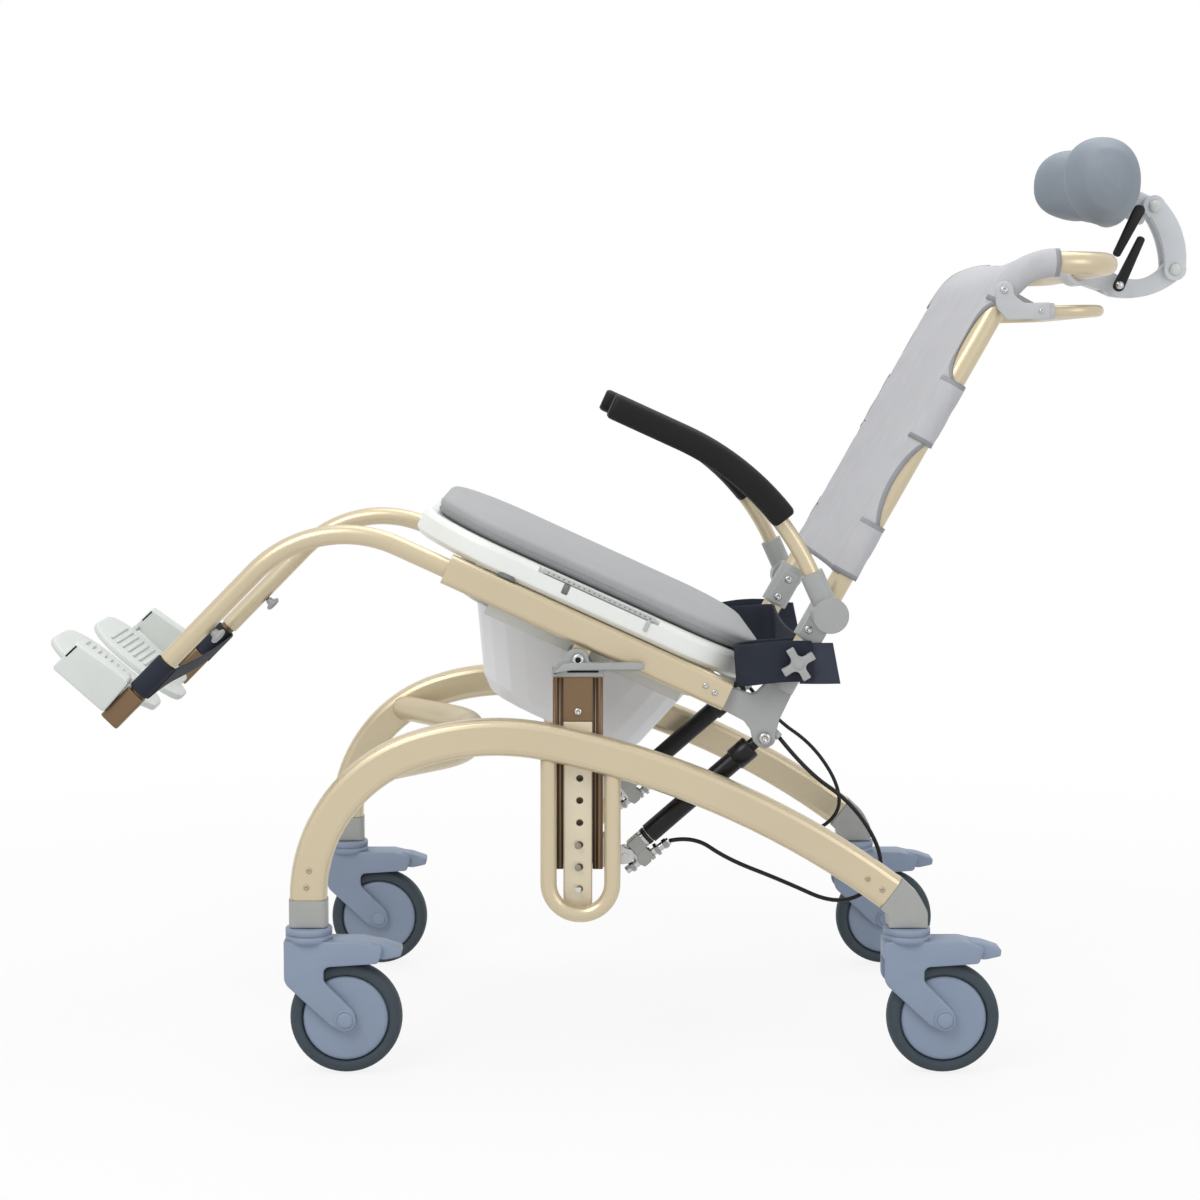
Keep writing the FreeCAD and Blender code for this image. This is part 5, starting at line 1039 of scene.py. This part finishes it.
# Black strip and discs: painted shade in the gap under the bar and in the bolt sockets.
add_pair(dark, rounded_box(-12.0, -14.4, 23.0, -12.0, 1.0), 235.2, 235.8, 0.0, pivot_at)
for sign in (-1, 1):
    add_turned(dark, ((0.0, 0.0), (3.0, 0.0), (3.0, 1.1), (0.0, 1.1)), pivot_at(0.0, sign * 237.6, 0.0),
               (0, sign, 0), 6)
built("pivot_bars", bm, cast_grey, "lift", "grey_cast")
built("pivot_gap_shade", dark, black_foam_and_shade, "lift", "grey_cast")

# Armrest clamps: each has a flat inner jaw on the side of the seat, which takes the two bolts.
jaw_loop = rounded_loop(((213.0, 125.0), (234.0, 125.0), (237.5, 170.0), (216.5, 170.0)), (4.0,) * 4)
bm = bmesh.new()
add_pair(bm, jaw_loop, 192.8, 198.5, 1.2, seat_at)
built("clamp_jaws", bm, cast_grey, "seat", "grey_cast")


# Gas springs: black cylinders with a wider cap at the top and a bush at the bottom; a steel release head with
# its lever and the hex nuts of the cable adjuster.
GAS_COS, GAS_SIN, GAS_Y = 0.7529, 0.6582, 198.0


def gas_frame(u, y, v):
    """Place by the lower end of a gas spring's cylinder: u on along it, v below it, in mm."""
    return Vector((20.4 - GAS_COS * u + GAS_SIN * v, y, 258.6 - GAS_SIN * u - GAS_COS * v)) * MM


gas_way = Vector((-GAS_COS, 0.0, -GAS_SIN))
head_loop = rounded_box(9.5, -9.0, 27.0, 9.0, 2.0)
lever_loop = rounded_loop(((14.0, 5.0), (24.0, 5.0), (31.0, 17.0), (28.0, 25.0), (18.0, 25.0), (12.0, 14.0)),
                          (3.0,) * 6, 3)
caps, bush, bm = bmesh.new(), bmesh.new(), bmesh.new()
for sign in (-1, 1):
    y = GAS_Y * sign
    add_turned(caps, ((11.6, 0.0), (12.8, 0.0), (13.4, 0.8), (13.4, 23.0), (12.6, 24.0), (11.6, 24.0),
                      (11.6, 0.0)), gas_frame(-151.0, y, 0.0), gas_way, 40)
    add_turned(bush, ((5.5, 0.0), (8.4, 0.0), (10.4, 1.0), (10.4, 5.6), (9.6, 6.2), (5.5, 6.2), (5.5, 0.0)),
               gas_frame(0.7, y, 0.0), gas_way, 32)
    add_plate(bm, head_loop, y - 9.0, y + 9.0, 1.2, gas_frame)
    add_plate(bm, lever_loop, y - 7.0, y - 4.0, 0.6, gas_frame)
    add_plate(bm, lever_loop, y + 4.0, y + 7.0, 0.6, gas_frame)
    low, high = gas_frame(47.2, y, 15.35), gas_frame(-11.4, y, 21.3)
    for part, r, long in ((0.10, 6.4, 5.0), (0.52, 7.6, 5.5), (0.68, 7.6, 4.5), (0.86, 5.8, 6.0)):
        add_turned(bm, ((0.0, 0.0), (0.8 * r, 0.0), (r, 0.6), (r, long - 0.6), (0.8 * r, long), (0.0, long)),
                   low.lerp(high, part), high - low, 6)
built("gas_caps", caps, gas_black, "gas_cylinder_pair", "black_paint")
built("gas_bushes", bush, gas_black, "gas_rod_pair", "black_paint")
head_steel = finish("head_steel", (150, 150, 147), 0.3, metallic=1.0, vary=0.06, scale=60.0)
heads = built("release_heads", bm, head_steel, "gas_rod_pair", "steel")
heads.data.shade_flat()
